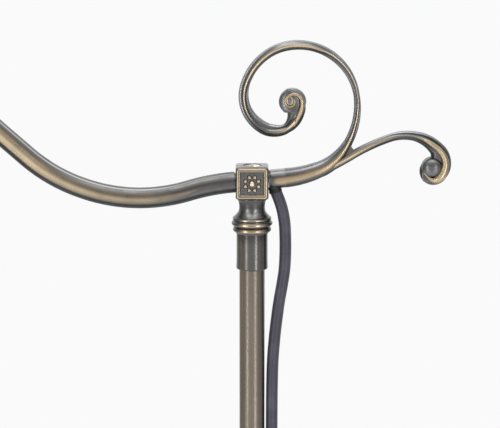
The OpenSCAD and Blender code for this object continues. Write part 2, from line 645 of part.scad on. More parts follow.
// Stations of a round end of radius r that the casting runs into
end_steps = 7;
function round_end(at, r) = let (a0 = -acos(at[3] / r)) [for (i = [1:end_steps])
    let (a = a0 + (84 - a0) * i / end_steps, d = r * (sin(a) - sin(a0)))
    [at.x + d * cos(at[2]), at.y + d * sin(at[2]), at[2], r * cos(a)]];

// Section of the casting: round near the block, further on with a raised ridge front and back
ridge_section = [[1, 0], [0.84, 0.42], [0.46, 0.58], [0.27, 0.9], [0, 1.04], [-0.27, 0.9], [-0.46, 0.58],
    [-0.84, 0.42], [-1, 0], [-0.84, -0.42], [-0.46, -0.58], [-0.27, -0.9], [0, -1.04], [0.27, -0.9],
    [0.46, -0.58], [0.84, -0.42]];
round_section = [for (i = [0:15]) [cos(22.5 * i), sin(22.5 * i)]];
ridge_from = 28;                          // distance from the block at which the ridge begins
ridge_full = 52;
deepest = 6;                              // half depth of the casting at its round ends
function section_at(p) = let (k = min(1, max(0, (norm([p.x, p.y]) - ridge_from) / (ridge_full - ridge_from))))
    [for (i = [0:15]) (1 - k) * round_section[i] + k * ridge_section[i]];
module swept_casting(rows, end_r) {
    way = walk(rows, [stem_end.x, stem_end.y, block_slope, stem_half]);
    stations = concat(way, round_end(way[len(way) - 1], end_r));
    n = len(stations);
    pts = [for (p = stations, q = section_at(p)) let (deep = min(deepest, max(p[3] * scroll_depth, 2.4)))
        [p.x - sin(p[2]) * q.x * p[3], q.y * deep, p.y + cos(p[2]) * q.x * p[3]]];
    walls = [for (i = [0:n - 2], k = [0:15]) let (a = i * 16 + k, b = i * 16 + (k + 1) % 16)
        each [[a, b, a + 16], [b, b + 16, a + 16]]];
    first = [for (k = [1:14]) [0, k + 1, k]];
    top = (n - 1) * 16;
    last = [for (k = [1:14]) [top, top + k, top + k + 1]];
    polyhedron(pts, concat(walls, first, last));
}

module scroll_finial() color(bronze) in_head() {
    swept_casting(big_rows, volute_r);
    swept_casting(small_rows, curl_r);
}

// The stem: a spigot in the block, a neck groove, and the way out for the lead underneath
spigot_in = 6;
core_way = 2.8;
bush_r = 3.9;
module along_stem(z) in_head() rotate([0, 90 - block_slope, 0]) translate([0, 0, z]) children();
module on_exit_axis() translate([corner.x, 0, corner.y]) rotate([0, 180 - exit_tilt, 0]) children();
stem_at = half / cos(block_slope);        // distance along the axis at which the stem leaves the block
module scroll_stem() color(bronze) difference() {
    union() {
        difference() {
            union() {
                along_stem(half - 2) cylinder(r = stub_r, h = 5);
                along_stem(stem_at + stub_len) cylinder(r = stem_half, h = stem_len - stub_len);
            }
            in_head() translate([-half, -half, -half]) cube(block_w);
        }
        along_stem(half - spigot_in) cylinder(r = socket_r - turn_gap, h = spigot_in + 2);
    }
    along_stem(0) cylinder(r = core_way, h = corner_x + core_way);
    on_exit_axis() cylinder(r = core_way - 0.3, h = 5);
    on_exit_axis() translate([0, 0, sheath_at - 1]) cylinder(r = bush_r + turn_gap, h = 12);
}

// Thin bushing in the stem's underside, with a lip below
module arm_bushing() color(iron) on_exit_axis() difference() {
    union() {
        translate([0, 0, sheath_at + 1.1]) cylinder(r = bush_r, h = 2.1);
        translate([0, 0, sheath_at + 2.9]) cylinder(r = bush_r + 0.25, h = 1.1);
    }
    cylinder(r = cord_r + turn_gap, h = 20);
}

// ---- knuckle at the arm's tip ------------------------------------------------------------

knuckle_drop = 17;                        // pivot below the arm's end
pivot_z = tip_z - knuckle_drop;
tongue_half = 4.4;
ear_gap = 0.15;
ear_t = 3;
pin_r = 2;
lead_way = 2.5;
bridge_low = 10.8;                        // underside of the fork's bridge above the pivot
seat_drop = 18.5;                         // holder's seat below the pivot
stem_bore = 2.6;
thread_r = 4.8;
module at_pivot() translate([tip_x, 0, pivot_z]) children();
module along_y(y0, y1, r) translate([0, y1, 0]) rotate([90, 0, 0]) cylinder(r = r, h = y1 - y0);

module knuckle_upper() color(bronze) at_pivot() difference() {
    union() {
        translate([0, 0, bridge_low]) cylinder(r = arm_r + 2.3, h = knuckle_drop - bridge_low + 8);
        bead(arm_r + 1.9, knuckle_drop + 6.6, 1.4);
        bead(arm_r + 2.1, bridge_low + 1.6, 1.6);
        for (s = [-1, 1]) {
            along_y(min(s * (tongue_half + ear_gap), s * (tongue_half + ear_gap + ear_t)),
                max(s * (tongue_half + ear_gap), s * (tongue_half + ear_gap + ear_t)), knuckle_r);
            translate([-6, s > 0 ? tongue_half + ear_gap : -tongue_half - ear_gap - ear_t, 0])
                cube([12, ear_t, bridge_low + 1]);
        }
    }
    translate([0, 0, knuckle_drop]) cylinder(r = arm_r + turn_gap, h = 20);
    cylinder(r = lead_way + 0.6, h = 60);
    along_y(-20, 20, pin_r + turn_gap);
}

// A slotted shoulder screw on each side, clear of the wires between them
module knuckle_screws() color(brass) at_pivot() for (s = [0, 1]) mirror([0, s, 0]) difference() {
    union() {
        along_y(lead_way + 0.3, tongue_half + ear_gap + ear_t, pin_r);
        along_y(tongue_half + ear_gap + ear_t, tongue_half + ear_gap + ear_t + 1.9, 3.7);
    }
    translate([-5, tongue_half + ear_gap + ear_t + 1.1, -0.5]) cube([10, 2, 1]);
}

module knuckle_lower() color(bronze) at_pivot() difference() {
    union() {
        along_y(-tongue_half, tongue_half, knuckle_r - 0.4);
        translate([-5, -tongue_half, -knuckle_r - 2]) cube([10, 2 * tongue_half, knuckle_r + 2]);
        translate([0, 0, -seat_drop]) cylinder(r = 5.4, h = seat_drop - knuckle_r - 0.9);
        translate([0, 0, -seat_drop]) cylinder(r = 9, h = 2.2);
        bead(8.4, -seat_drop + 2, 1.2);
        translate([0, 0, -seat_drop - 9]) cylinder(r = thread_r, h = 10);
    }
    translate([0, 0, -40]) cylinder(r = stem_bore, h = 80);
    along_y(-20, 20, pin_r + turn_gap);
}

// ---- shade, its holder and the socket; depths below the holder's seat --------------------

module below_seat() at_pivot() translate([0, 0, -seat_drop]) children();
holder_wall = 1.2;
holder_in = lip_r + 1.2;
holder_out = holder_in + holder_wall;
lip_depth = 6.5;
screw_depth = lip_depth + 5.8;
holder_outline = [[16, 0], [22, -1.4], [holder_out - 3, -3.2], [holder_out - 0.8, -4.6],
    [holder_out, -6.6], [holder_out, -15.4], [holder_out + 0.7, -16.4]];
module shade_holder() color(bronze) below_seat() difference() {
    turned(concat([[thread_r + turn_gap, 0]], holder_outline,
        [for (i = [len(holder_outline) - 1:-1:0]) holder_outline[i] - [holder_wall, i > 4 ? 0 : holder_wall]],
        [[thread_r + turn_gap, -holder_wall]]));
    for (a = [30, 150, 270]) rotate([0, 0, a]) translate([holder_in - 5, 0, -screw_depth]) rotate([0, 90, 0])
        cylinder(r = 1.5 + turn_gap, h = 12);
}

groove = 1.8;
module holder_screws() color(brass) below_seat() for (a = [30, 150, 270]) rotate([0, 0, a])
    translate([0, 0, -screw_depth]) rotate([0, 90, 0]) {
        translate([0, 0, lip_r - groove + slip_gap]) cylinder(r = 1.5, h = holder_out + 3 - lip_r + groove);
        translate([0, 0, holder_out + 2]) cylinder(r = 4, h = 3.4);
        translate([0, 0, holder_out + 1]) cylinder(r = 2.6, h = 1.4);
    }

// Bell of the shade: a four-point curve from the neck to the rim
neck_depth = lip_depth + 10.5;
rim_depth = lip_depth + shade_h;
bell = [[lip_r + 0.3, -neck_depth], [lip_r + 37, -neck_depth - 7], [shade_r - 27, -rim_depth + 40],
    [shade_r, -rim_depth]];
function bezier(c, t) = pow(1 - t, 3) * c[0] + 3 * t * pow(1 - t, 2) * c[1]
    + 3 * t * t * (1 - t) * c[2] + pow(t, 3) * c[3];
bell_steps = 16;
shade_outline = concat([[lip_r - 0.8, -lip_depth], [lip_r, -lip_depth - 0.8], [lip_r, -lip_depth - 3],
    [lip_r - groove, -lip_depth - 4.4], [lip_r - groove, -lip_depth - 7.4]],
    [for (i = [0:bell_steps]) bezier(bell, i / bell_steps)]);
module shade() color(opal) below_seat() turned(concat(shade_outline,
    [for (i = [len(shade_outline) - 1:-1:0]) [shade_outline[i].x - shade_t, shade_outline[i].y]]));

cap_wall = 0.7;
cap_depth = 17;
shell_depth = 11;
shell_wall = 0.6;
shell_end = shell_depth + shell_h;
liner_t = 0.7;
core_depth = shell_depth + 1;
core_h = 19;
key_depth = core_depth + 13;
spindle_r = 2;
cap_r = shell_r + turn_gap + cap_wall;
cap_outline = [[8, -1.2], [13, -2.2], [cap_r - 1.4, -5.4], [cap_r, -9], [cap_r, -cap_depth]];
module key_hole(r) translate([0, 0, -key_depth]) along_y(-shell_r - 8, 0, r);
module socket_cap() color(brass) below_seat() turned(concat(
    [[thread_r + turn_gap, -holder_wall]], cap_outline,
    [for (i = [len(cap_outline) - 1:-1:0]) cap_outline[i] - [cap_wall, i == len(cap_outline) - 1 ? 0 : cap_wall]],
    [[thread_r + turn_gap, -holder_wall - cap_wall]]));

module socket_shell() color(brass) below_seat() difference() {
    union() {
        ring(shell_r, shell_r - shell_wall, -shell_end, shell_h);
        for (d = [cap_depth + 2, shell_end - 1.2]) bead(shell_r - 0.1, -d, 0.9);
    }
    translate([0, 0, -shell_end - 5]) cylinder(r = shell_r - shell_wall, h = shell_h + 10);
    key_hole(spindle_r + 1);
}

liner_r = shell_r - shell_wall - turn_gap;
module socket_liner() color("tan") below_seat() difference() {
    ring(liner_r, liner_r - liner_t, -shell_end + 0.5, shell_h - 1);
    key_hole(spindle_r + 0.6);
}

thread_shell_r = 14.1;
thread_shell_t = 0.5;
module socket_core() color(iron) below_seat() difference() {
    translate([0, 0, -core_depth - core_h]) cylinder(r = liner_r - liner_t - turn_gap, h = core_h);
    key_hole(spindle_r + turn_gap);
    for (s = [-1, 1]) translate([s * 9, 0, -core_depth - core_h - 1]) cylinder(r = 1.6, h = core_h + 2);
}

core_low = core_depth + core_h;
module screw_shell() color(brass) below_seat()
    ring(thread_shell_r, thread_shell_r - thread_shell_t, -shell_end + 1, shell_end - 1 - core_low);

module centre_contact() color(brass) below_seat() {
    translate([0, 0, -core_low - 0.8]) cylinder(r = 4, h = 0.8);
}

module socket_leads() color(iron) at_pivot() for (s = [-1, 1])
    translate([0, s * core_off, -seat_drop - core_depth]) cylinder(r = core_r, h = seat_drop + core_depth + 5);

cap_top = core_low + 0.8;
bulb_neck = shell_end + 2;
module bulb_cap() color(steel) below_seat() turned([[0, -cap_top], [3, -cap_top], [4, -cap_top - 1],
    [9, -cap_top - 1.6], [12.6, -cap_top - 4], [13.1, -cap_top - 5], [13.1, -bulb_neck], [0, -bulb_neck]]);

bulb_centre = bulb_neck + 30;
glass_t = 1;
function bulb_outline(r) = concat([[12.6, -bulb_neck], [12.9, -bulb_neck - 6]],
    [for (a = [48:-12:-84]) [r * cos(a), -bulb_centre + r * sin(a)]], [[0, -bulb_centre - r]]);
module bulb_glass() color("white") below_seat() difference() {
    turned(concat([[0, -bulb_neck]], bulb_outline(bulb_r)));
    turned(concat([[0, -bulb_neck + 1], [12.6 - glass_t, -bulb_neck + 1]],
        [for (p = bulb_outline(bulb_r - glass_t)) [max(0, p.x - (p.x > 12.5 && p.y > -bulb_neck - 7 ? glass_t : 0)), p.y]]));
}

// ---- turn switch through the socket's side -----------------------------------------------

spindle_out = 3.2;
key_r = 5;
key_len = 9;
module at_key() below_seat() translate([0, -shell_r, -key_depth]) children();
module switch_spindle() color(steel) at_key() along_y(-spindle_out, shell_r - 7, spindle_r);
module switch_key() color(iron) at_key() difference() {
    union() {
        along_y(-spindle_out - 2, -1.4, 3);
        along_y(-spindle_out - key_len, -spindle_out + 0.2, key_r);
    }
    for (s = [-1, 1]) translate([s * (key_r + 1.6), -spindle_out - key_len - 1, 0]) rotate([-90, 0, 0])
        cylinder(r = 3.4, h = key_len - 1);
    along_y(-spindle_out, 0, spindle_r);
}

felt_pad();
base_weight();
base_cover();
base_washer();
base_locknut();
base_nipple();
base_neck();
cord_bushing();
lower_pole();
pole_coupler();
joint_ring();
upper_pole();
pole_grommet();
swivel_stud();
swivel_washer();
swivel_nut();
pole_wire();
cord_loop();
floor_cord();
cord_coil();
cord_tie();
plug_body();
plug_blades();
pole_sleeve();
neck_casting();
head_block();
top_plug();
bridge_arm();
scroll_stem();
scroll_finial();
arm_bushing();
arm_wire();
knuckle_upper();
knuckle_screws();
knuckle_lower();
shade_holder();
holder_screws();
socket_cap();
socket_shell();
socket_liner();
socket_core();
screw_shell();
centre_contact();
socket_leads();
bulb_cap();
bulb_glass();
shade();
switch_key();
switch_spindle();
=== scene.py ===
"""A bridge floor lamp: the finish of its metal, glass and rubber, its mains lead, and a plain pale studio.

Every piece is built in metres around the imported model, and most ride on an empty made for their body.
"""

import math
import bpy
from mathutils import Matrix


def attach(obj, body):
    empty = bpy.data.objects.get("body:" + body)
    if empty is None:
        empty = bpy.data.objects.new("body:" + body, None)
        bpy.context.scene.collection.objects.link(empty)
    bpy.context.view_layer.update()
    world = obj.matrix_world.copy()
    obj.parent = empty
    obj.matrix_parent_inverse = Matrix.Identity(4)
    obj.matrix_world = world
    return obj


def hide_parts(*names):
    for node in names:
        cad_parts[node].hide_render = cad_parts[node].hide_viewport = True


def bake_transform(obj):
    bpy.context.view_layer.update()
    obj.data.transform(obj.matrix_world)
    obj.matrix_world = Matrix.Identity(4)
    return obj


bl_info = {
    "name": "Bridge Floor Lamp",
    "version": (1, 0, 0),
    "blender": (4, 5, 0),
    "location": "View3D > Sidebar > Lamp",
    "description": "Builds the looks of a bridge floor lamp around its packed model",
    "category": "Object",
}

import bmesh
import bpy
import numpy as np
from bpy.props import FloatProperty, FloatVectorProperty, IntProperty, PointerProperty
from mathutils import Matrix, Vector

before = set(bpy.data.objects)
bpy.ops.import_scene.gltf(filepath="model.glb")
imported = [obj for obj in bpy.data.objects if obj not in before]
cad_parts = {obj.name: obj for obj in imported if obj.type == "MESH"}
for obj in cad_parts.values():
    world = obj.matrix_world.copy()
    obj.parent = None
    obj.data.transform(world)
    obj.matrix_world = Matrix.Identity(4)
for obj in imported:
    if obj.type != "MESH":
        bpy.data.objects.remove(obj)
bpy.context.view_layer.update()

MM = 0.001
TAU = 2 * math.pi


# ---- sizes and colours that a user would change


def length(name, description, default):
    """A size in metres."""
    return FloatProperty(name=name, description=description, default=default, unit="LENGTH", precision=5)


def colour(name, description, red, green, blue):
    """A colour as a screen shows it, each part from 0 to 255."""
    return FloatVectorProperty(
        name=name, description=description, subtype="COLOR_GAMMA", size=3, min=0, max=1,
        default=(red / 255, green / 255, blue / 255),
    )


class LampSizes(bpy.types.PropertyGroup):
    """Driving sizes of the lamp."""

    arm_height: length("Arm height", "Height of the arm's axis in the head block", 1.350)
    block: length("Block", "Edge of the square head block", 0.0206)
    arm_d: length("Arm diameter", "Outer diameter of the arm tube", 0.0127)
    pole_d: length("Pole diameter", "Outer diameter of the pole", 0.016)
    lead_d: length("Lead diameter", "Diameter of the mains lead", 0.0068)
    foot_d: length("Foot diameter", "Diameter of the foot over its rim", 0.280)
    shade_r: length("Shade radius", "Radius of the shade at its lower rim", 0.079)
    shade_h: length("Shade height", "Height of the shade", 0.128)
    sides: IntProperty(name="Sides", description="Sides of a round section", default=96, min=16, max=160)


class LampColours(bpy.types.PropertyGroup):
    """Colours of the lamp's finishes."""

    bronze: colour("Bronze", "Dark grey bronze of the patina", 112, 111, 109)
    # Brass of rubbed wear, also laid on as painted reflection; then the cream of painted highlights
    brass: colour("Brass", "Brass where the patina is rubbed thin", 182, 162, 132)
    bright: colour("Bright brass", "Brass on the most rubbed edges", 240, 222, 190)
    # Dark of the patina in hollows, also used as painted shade on undersides, sides and flanks
    painted_shade_and_patina: colour("Recess", "Patina in the hollows", 52, 54, 56)
    # Greys of painted pale reflections on edges and tops, the second for the brightest of them
    pale: colour("Pale edge", "Grey of the worn outer edges", 150, 151, 154)
    painted_sheen: colour("Polished edge", "Light grey of the most polished edges", 196, 196, 193)
    pole: colour("Pole", "Warm grey bronze of the pole", 131, 122, 112)
    sleeve: colour("Sleeve", "Grey of the sleeve", 108, 107, 104)
    lead: colour("Lead", "Dark grey sheath of the lead", 64, 62, 73)
    opal: colour("Opal glass", "Opal white of the shade", 236, 228, 210)
    studio: colour("Studio", "Backdrop and floor", 250, 250, 251)


class LampStudio(bpy.types.PropertyGroup):
    """Camera and light."""

    elevation: FloatProperty(name="Elevation", description="Camera above the horizon, degrees", default=11)
    distance: length("Distance", "Camera to the head", 1.6)
    lens: FloatProperty(name="Lens", description="Focal length on a 36 mm sensor", default=183)
    world: FloatProperty(name="World", description="Strength of the even light", default=0.85)
    strip: FloatProperty(name="Strips", description="Power of the two upright lamps in watts", default=9)
    top: FloatProperty(name="Top", description="Power of the overhead lamp in watts", default=10)


def linear(shown):
    """The linear colour of one that is given as a screen shows it."""
    return tuple(c / 12.92 if c <= 0.04045 else ((c + 0.055) / 1.055) ** 2.4 for c in shown)


# ---- shader maths


class Wire:
    """A value in a material's node tree; arithmetic on it adds Math nodes."""

    def __init__(self, recipe, socket):
        self.recipe = recipe
        self.socket = socket

    def maths(self, operation, first, second=0):
        return self.recipe.add("ShaderNodeMath", {"operation": operation}, {0: first, 1: second})

    def __add__(self, other):
        return self.maths("ADD", self, other)

    __radd__ = __add__

    def __sub__(self, other):
        return self.maths("SUBTRACT", self, other)

    def __rsub__(self, other):
        return self.maths("SUBTRACT", other, self)

    def __mul__(self, other):
        return self.maths("MULTIPLY", self, other)

    __rmul__ = __mul__

    def __abs__(self):
        return self.maths("ABSOLUTE", self)

    def step(self, low, high, start=0, end=1):
        """A smooth step that goes from start at low to end at high."""
        return self.recipe.add(
            "ShaderNodeMapRange", {"interpolation_type": "SMOOTHSTEP"},
            {"Value": self, "From Min": low, "From Max": high, "To Min": start, "To Max": end},
        )


class Recipe:
    """One material and the nodes that make it."""

    def __init__(self, name):
        self.material = bpy.data.materials.new(name)
        self.material.use_nodes = True
        self.nodes = self.material.node_tree.nodes
        self.links = self.material.node_tree.links
        self.nodes.clear()

    def add(self, kind, settings=None, sockets=None, out=0):
        """Any node: its settings are set first, then the values or wires of its sockets."""
        node = self.nodes.new(kind)
        for name, value in (settings or {}).items():
            setattr(node, name, value)
        for name, value in (sockets or {}).items():
            self.feed(node.inputs[name], value)
        return Wire(self, node.outputs[out])

    def feed(self, socket, value):
        if isinstance(value, Wire):
            self.links.new(value.socket, socket)
        else:
            socket.default_value = value

    def mask(self, name):
        """A value that a piece's mesh carries at each point."""
        return self.add("ShaderNodeAttribute", {"attribute_name": name}, out="Fac")

    def noise(self, scale, detail=4, stretch=(1, 1, 1), rough=0.55):
        """Noise at the point on the piece in metres, stretched for a streaked pattern."""
        here = self.add("ShaderNodeTexCoord", out="Object")
        here = self.add("ShaderNodeVectorMath", {"operation": "MULTIPLY"}, {0: here, 1: stretch})
        return self.add("ShaderNodeTexNoise", None, {
            "Vector": here, "Scale": scale, "Detail": detail, "Roughness": rough,
        })

    def blend(self, first, second, share):
        """One colour going over into another."""
        first, second = (c if isinstance(c, Wire) else (*linear(c), 1) for c in (first, second))
        return self.add("ShaderNodeMix", {"data_type": "RGBA"}, {0: share, 6: first, 7: second}, out=2)

    def finish(self, base, roughness, metallic=0, bump=None, height=0.0002, **fixed):
        """Puts the surface together; fixed are sockets that are the same all over."""
        shader = self.nodes.new("ShaderNodeBsdfPrincipled")
        self.feed(shader.inputs["Base Color"], base if isinstance(base, Wire) else (*linear(base), 1))
        self.feed(shader.inputs["Roughness"], roughness)
        self.feed(shader.inputs["Metallic"], metallic)
        for name, value in fixed.items():
            shader.inputs[name.replace("_", " ")].default_value = value
        if bump is not None:
            normal = self.add("ShaderNodeBump", None, {"Height": bump, "Distance": height, "Strength": 0.6})
            self.feed(shader.inputs["Normal"], normal)
        end = self.nodes.new("ShaderNodeOutputMaterial")
        self.links.new(shader.outputs["BSDF"], end.inputs["Surface"])
        return self.material


def patina(name, base, rub_from=0.35):
    """Aged bronze on a dark ground: brass from wear and painted reflection, painted highlights, painted pale edges,
    painted shade and darker hollows.
    """
    hues = bpy.context.scene.lamp_colours
    r = Recipe(name)
    cloud = r.noise(90, 2)
    grain = r.noise(700, 2)
    fine = r.noise(420, 2)
    wear_and_sheen = (r.mask("rub") + (grain - 0.5) * 0.06 + (cloud - 0.5) * 0.4).step(rub_from - 0.2, rub_from + 0.6)
    shine = (r.mask("shine") + (cloud - 0.5) * 0.2).step(0.1, 1)
    ground = r.blend(base, hues.painted_shade_and_patina, cloud.step(0.35, 0.8, 0, 0.3))
    tone = r.blend(ground, hues.brass, wear_and_sheen)
    tone = r.blend(tone, hues.bright, shine)
    # Painted pale reflections, then painted shade together with the patina of hollows
    tone = r.blend(tone, hues.pale, r.mask("rim").step(0, 1))
    tone = r.blend(tone, hues.painted_sheen, r.mask("rim").step(1, 2))
    tone = r.blend(tone, hues.painted_shade_and_patina, (r.mask("dark") + (grain - 0.5) * 0.08).step(0, 1))
    rough = cloud.step(0.3, 0.7, 0.24, 0.34) + r.mask("dark") * 0.15
    return r.finish(tone, rough, metallic=1, bump=fine, height=0.000012)


def dull_metal(name, base, rough, stretch=(1, 1, 1)):
    """Plain metal with a fine brushed grain, such as a nut or a tube."""
    r = Recipe(name)
    grain = r.noise(1200, 4, stretch)
    tone = r.blend(base, tuple(c * 0.6 for c in base), r.noise(60, 4).step(0.4, 0.75, 0, 0.6))
    return r.finish(tone, grain.step(0.3, 0.7, rough - 0.05, rough + 0.08), 1, grain, 0.00005)


def streaked_tube(name, base, rough=0.28):
    """Bronze drawn tube: long soft streaks along Z over the dark ground."""
    hues = bpy.context.scene.lamp_colours
    r = Recipe(name)
    streak = r.noise(700, 3, (1, 1, 0.02))
    spots = r.noise(260, 5)
    tone = r.blend(base, hues.brass, (streak + (spots - 0.5) * 0.5).step(0.45, 0.85, 0, 0.25))
    tone = r.blend(tone, hues.painted_shade_and_patina, spots.step(0.6, 0.8, 0, 0.5))
    # Painted shade where the mesh's dark mask asks, as under the neck and the sleeve's lip
    tone = r.blend(tone, hues.painted_shade_and_patina, r.mask("dark"))
    return r.finish(tone, streak.step(0.3, 0.7, rough, rough + 0.08), 1, streak, 0.00004)


def moulded(name, base, rough, grain=0.00006, scale=900):
    """Moulded rubber or plastic with a fine skin and slight dust."""
    r = Recipe(name)
    skin = r.noise(scale, 5)
    dust = r.noise(70, 5)
    pale = tuple(min(1, c + 0.09) for c in base)
    tone = r.blend(base, pale, dust.step(0.45, 0.75, 0, 0.7) + r.mask("dark") * 0.6)
    return r.finish(tone, skin.step(0.3, 0.7, rough - 0.06, rough + 0.06), 0, skin, grain)


def opal_glass(name):
    """Satin opal glass: milky, a little light through it, faint streaks from blowing."""
    hues = bpy.context.scene.lamp_colours
    r = Recipe(name)
    swirl = r.noise(14, 4, (1, 1, 0.35))
    fine = r.noise(420, 3)
    warm = tuple(c * f for c, f in zip(hues.opal, (0.97, 0.94, 0.86)))
    tone = r.blend(hues.opal, warm, swirl.step(0.35, 0.7))
    return r.finish(
        tone, fine.step(0.3, 0.7, 0.2, 0.3), 0, swirl, 0.0005, Coat_Weight=0.35, Coat_Roughness=0.12,
        Subsurface_Weight=0.1, Subsurface_Scale=0.003,
    )


def felt_cloth(name):
    """Wool felt: short matted fibres."""
    r = Recipe(name)
    fibre = r.noise(1500, 8, rough=0.75)
    tone = r.blend((0.13, 0.15, 0.11), (0.23, 0.25, 0.2), fibre)
    return r.finish(tone, 0.95, 0, fibre, 0.0006, Sheen_Weight=0.5)


def cast_iron(name):
    """Rough sand-cast iron."""
    r = Recipe(name)
    sand = r.noise(380, 8, rough=0.7)
    rust = r.noise(40, 6).step(0.55, 0.75)
    tone = r.blend(r.blend((0.19, 0.19, 0.2), (0.3, 0.3, 0.3), sand), (0.33, 0.2, 0.13), rust * 0.6)
    return r.finish(tone, 0.7, 0.6, sand, 0.0008)


FINISHES = {}


def finish_named(key):
    """The material of that name, made when it is first asked for."""
    hues = bpy.context.scene.lamp_colours
    makers = {
        # The patina finishes also paint highlights, pale reflections and shade where a piece's masks ask for them
        "arm": (patina, "arm_patina_and_painted_light", hues.bronze, 0.3),
        "casting": (patina, "casting_patina_and_painted_light", hues.bronze),
        "block": (patina, "block_patina_and_painted_light", hues.bronze),
        "fitting": (patina, "fitting_patina", hues.bronze),
        "foot": (patina, "foot_patina_and_painted_light", hues.bronze, 0.45),
        "sleeve": (streaked_tube, "sleeve_bronze", hues.sleeve, 0.21),
        "pole": (streaked_tube, "pole_bronze", hues.pole),
        "rubbed_brass": (dull_metal, "rubbed_brass", hues.brass, 0.28),
        "socket_brass": (dull_metal, "socket_brass", (0.78, 0.66, 0.42), 0.24, (1, 1, 0.1)),
        "bright_contact": (dull_metal, "contact_brass", (0.86, 0.74, 0.48), 0.2),
        "steel": (dull_metal, "zinc_steel", (0.72, 0.72, 0.72), 0.35),
        "cap_metal": (dull_metal, "lamp_cap_metal", (0.8, 0.8, 0.79), 0.25),
        "lead": (moulded, "lead_vinyl", hues.lead, 0.4, 0.00003),
        "rubber": (moulded, "black_rubber", (0.13, 0.13, 0.14), 0.55),
        "plug": (moulded, "plug_vinyl", (0.2, 0.2, 0.22), 0.42, 0.00008),
        "tie": (moulded, "tie_strap", (0.1, 0.1, 0.1), 0.6, 0.0002, 500),
        "resin": (moulded, "black_resin", (0.09, 0.08, 0.08), 0.25),
        "board": (moulded, "insulating_board", (0.62, 0.52, 0.37), 0.8, 0.0002),
        "cores": (moulded, "core_insulation", (0.16, 0.15, 0.15), 0.45),
        "bulb": (moulded, "frosted_bulb", (0.95, 0.94, 0.9), 0.3, 0.00002),
        "felt": (felt_cloth, "wool_felt"),
        "iron": (cast_iron, "cast_iron"),
        "opal": (opal_glass, "opal_glass"),
    }
    if key not in FINISHES:
        maker, *parts = makers[key]
        FINISHES[key] = maker(*parts)
    return FINISHES[key]


# ---- mesh helpers

# Masks: brass (wear and painted reflection), painted highlight, painted pale reflection or a paler tone, painted
# shade with hollow patina
MASKS = ("rub", "shine", "rim", "dark")


def set_mask(mesh, name, values):
    """Stores a named value for each point of a mesh."""
    layer = mesh.attributes.new(name, "FLOAT", "POINT")
    layer.data.foreach_set("value", np.asarray(values, np.float32))


def soften(mesh, crease):
    """Smooth shading, with a hard edge where two faces meet at more than crease degrees."""
    mesh.shade_smooth()
    mesh.set_sharp_from_angle(angle=math.radians(crease))


def linked(name, data):
    """A new object with that data, in the scene."""
    item = bpy.data.objects.new(name, data)
    bpy.context.scene.collection.objects.link(item)
    return item


def new_piece(name, shell, finish, crease=40):
    """A mesh object from a shell: points in metres, faces, and perhaps masks with a value for each point."""
    points, faces, masks = (*shell, {})[:3]
    mesh = bpy.data.meshes.new(name)
    mesh.from_pydata([tuple(p) for p in points], [], faces)
    shape = bmesh.new()
    shape.from_mesh(mesh)
    bmesh.ops.recalc_face_normals(shape, faces=shape.faces)
    shape.to_mesh(mesh)
    shape.free()
    for key, values in masks.items():
        set_mask(mesh, key, values)
    soften(mesh, crease)
    mesh.materials.append(finish_named(finish))
    return linked(name, mesh)


def place_piece(piece, body, slot, *nodes):
    """Sets what a finished piece rides on and hides the nodes that it stands for; the slot is not used."""
    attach(piece, body)
    if nodes:
        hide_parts(*nodes)
    return piece


def add_piece(name, shell, finish, crease, body, slot, *nodes):
    """A new piece, placed at once."""
    return place_piece(new_piece(name, shell, finish, crease), body, slot, *nodes)


def dress(**finishes):
    """Gives carried-over nodes their finishes; each finish has its nodes' names in one text."""
    for finish, nodes in finishes.items():
        for node in nodes.split():
            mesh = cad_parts[node].data
            mesh.materials.clear()
            mesh.materials.append(finish_named(finish))


def arc(x, z, radius, start, end, steps=8):
    """Points of an arc in an outline, angles in degrees."""
    angles = np.radians(np.linspace(start, end, steps + 1))
    return [(x + radius * math.cos(a), z + radius * math.sin(a)) for a in angles]


def eased(start, end, hollow, steps):
    """Outline points from start to end: hollow starts level and ends steep, full the other way."""
    shares = [math.radians(90 * i / steps) for i in range(steps + 1)]
    bend = [(math.sin(a), 1 - math.cos(a)) if hollow else (1 - math.cos(a), math.sin(a)) for a in shares]
    return [(start[0] + (end[0] - start[0]) * u, start[1] + (end[1] - start[1]) * v) for u, v in bend]


def lathe(outline, steps=96, x=0, lift=0):
    """The shell of an outline [radius, height] in mm turned about an upright axis at x, lifted by some mm.

    The outline goes round the solid's section once; points at radius 0 become one point."""
    points, rows, faces = [], [], []
    for radius, z in outline:
        count = 1 if radius < 1e-6 else steps
        rows.append(range(len(points), len(points) + count))
        points += [(x + radius * MM * math.cos(a), radius * MM * math.sin(a), (z + lift) * MM)
                   for a in (TAU * k / steps for k in range(count))]
    for low, high in zip(rows, rows[1:] + rows[:1]):
        for k in range(steps if len(low) + len(high) > 2 else 0):
            n = (k + 1) % steps
            first = (low[0],) if len(low) == 1 else (low[k], low[n])
            faces.append(first + ((high[0],) if len(high) == 1 else (high[n], high[k])))
    return points, faces


def tube_faces(rings, count, closed=False):
    """Faces between rings of count points each, and over the two ends unless the tube runs into itself."""
    pairs = [(i * count, (i + 1) % rings * count) for i in range(rings if closed else rings - 1)]
    sides = [(a + k, a + (k + 1) % count, b + (k + 1) % count, b + k) for a, b in pairs for k in range(count)]
    ends = [tuple(range(count - 1, -1, -1)), tuple(range((rings - 1) * count, rings * count))]
    return sides if closed else sides + ends


def section_frames(path):
    """Unit tangents and a side vector carried along a path without twist."""
    tangents = np.gradient(np.asarray(path, float), axis=0)
    tangents /= np.linalg.norm(tangents, axis=1)[:, None]
    side = np.cross(tangents[0], (0, 1, 0) if abs(tangents[0][1]) < 0.9 else (1, 0, 0))
    sides = []
    for t in tangents:
        side = side - t * (side @ t)
        side /= np.linalg.norm(side)
        sides.append(side)
    return tangents, np.array(sides)


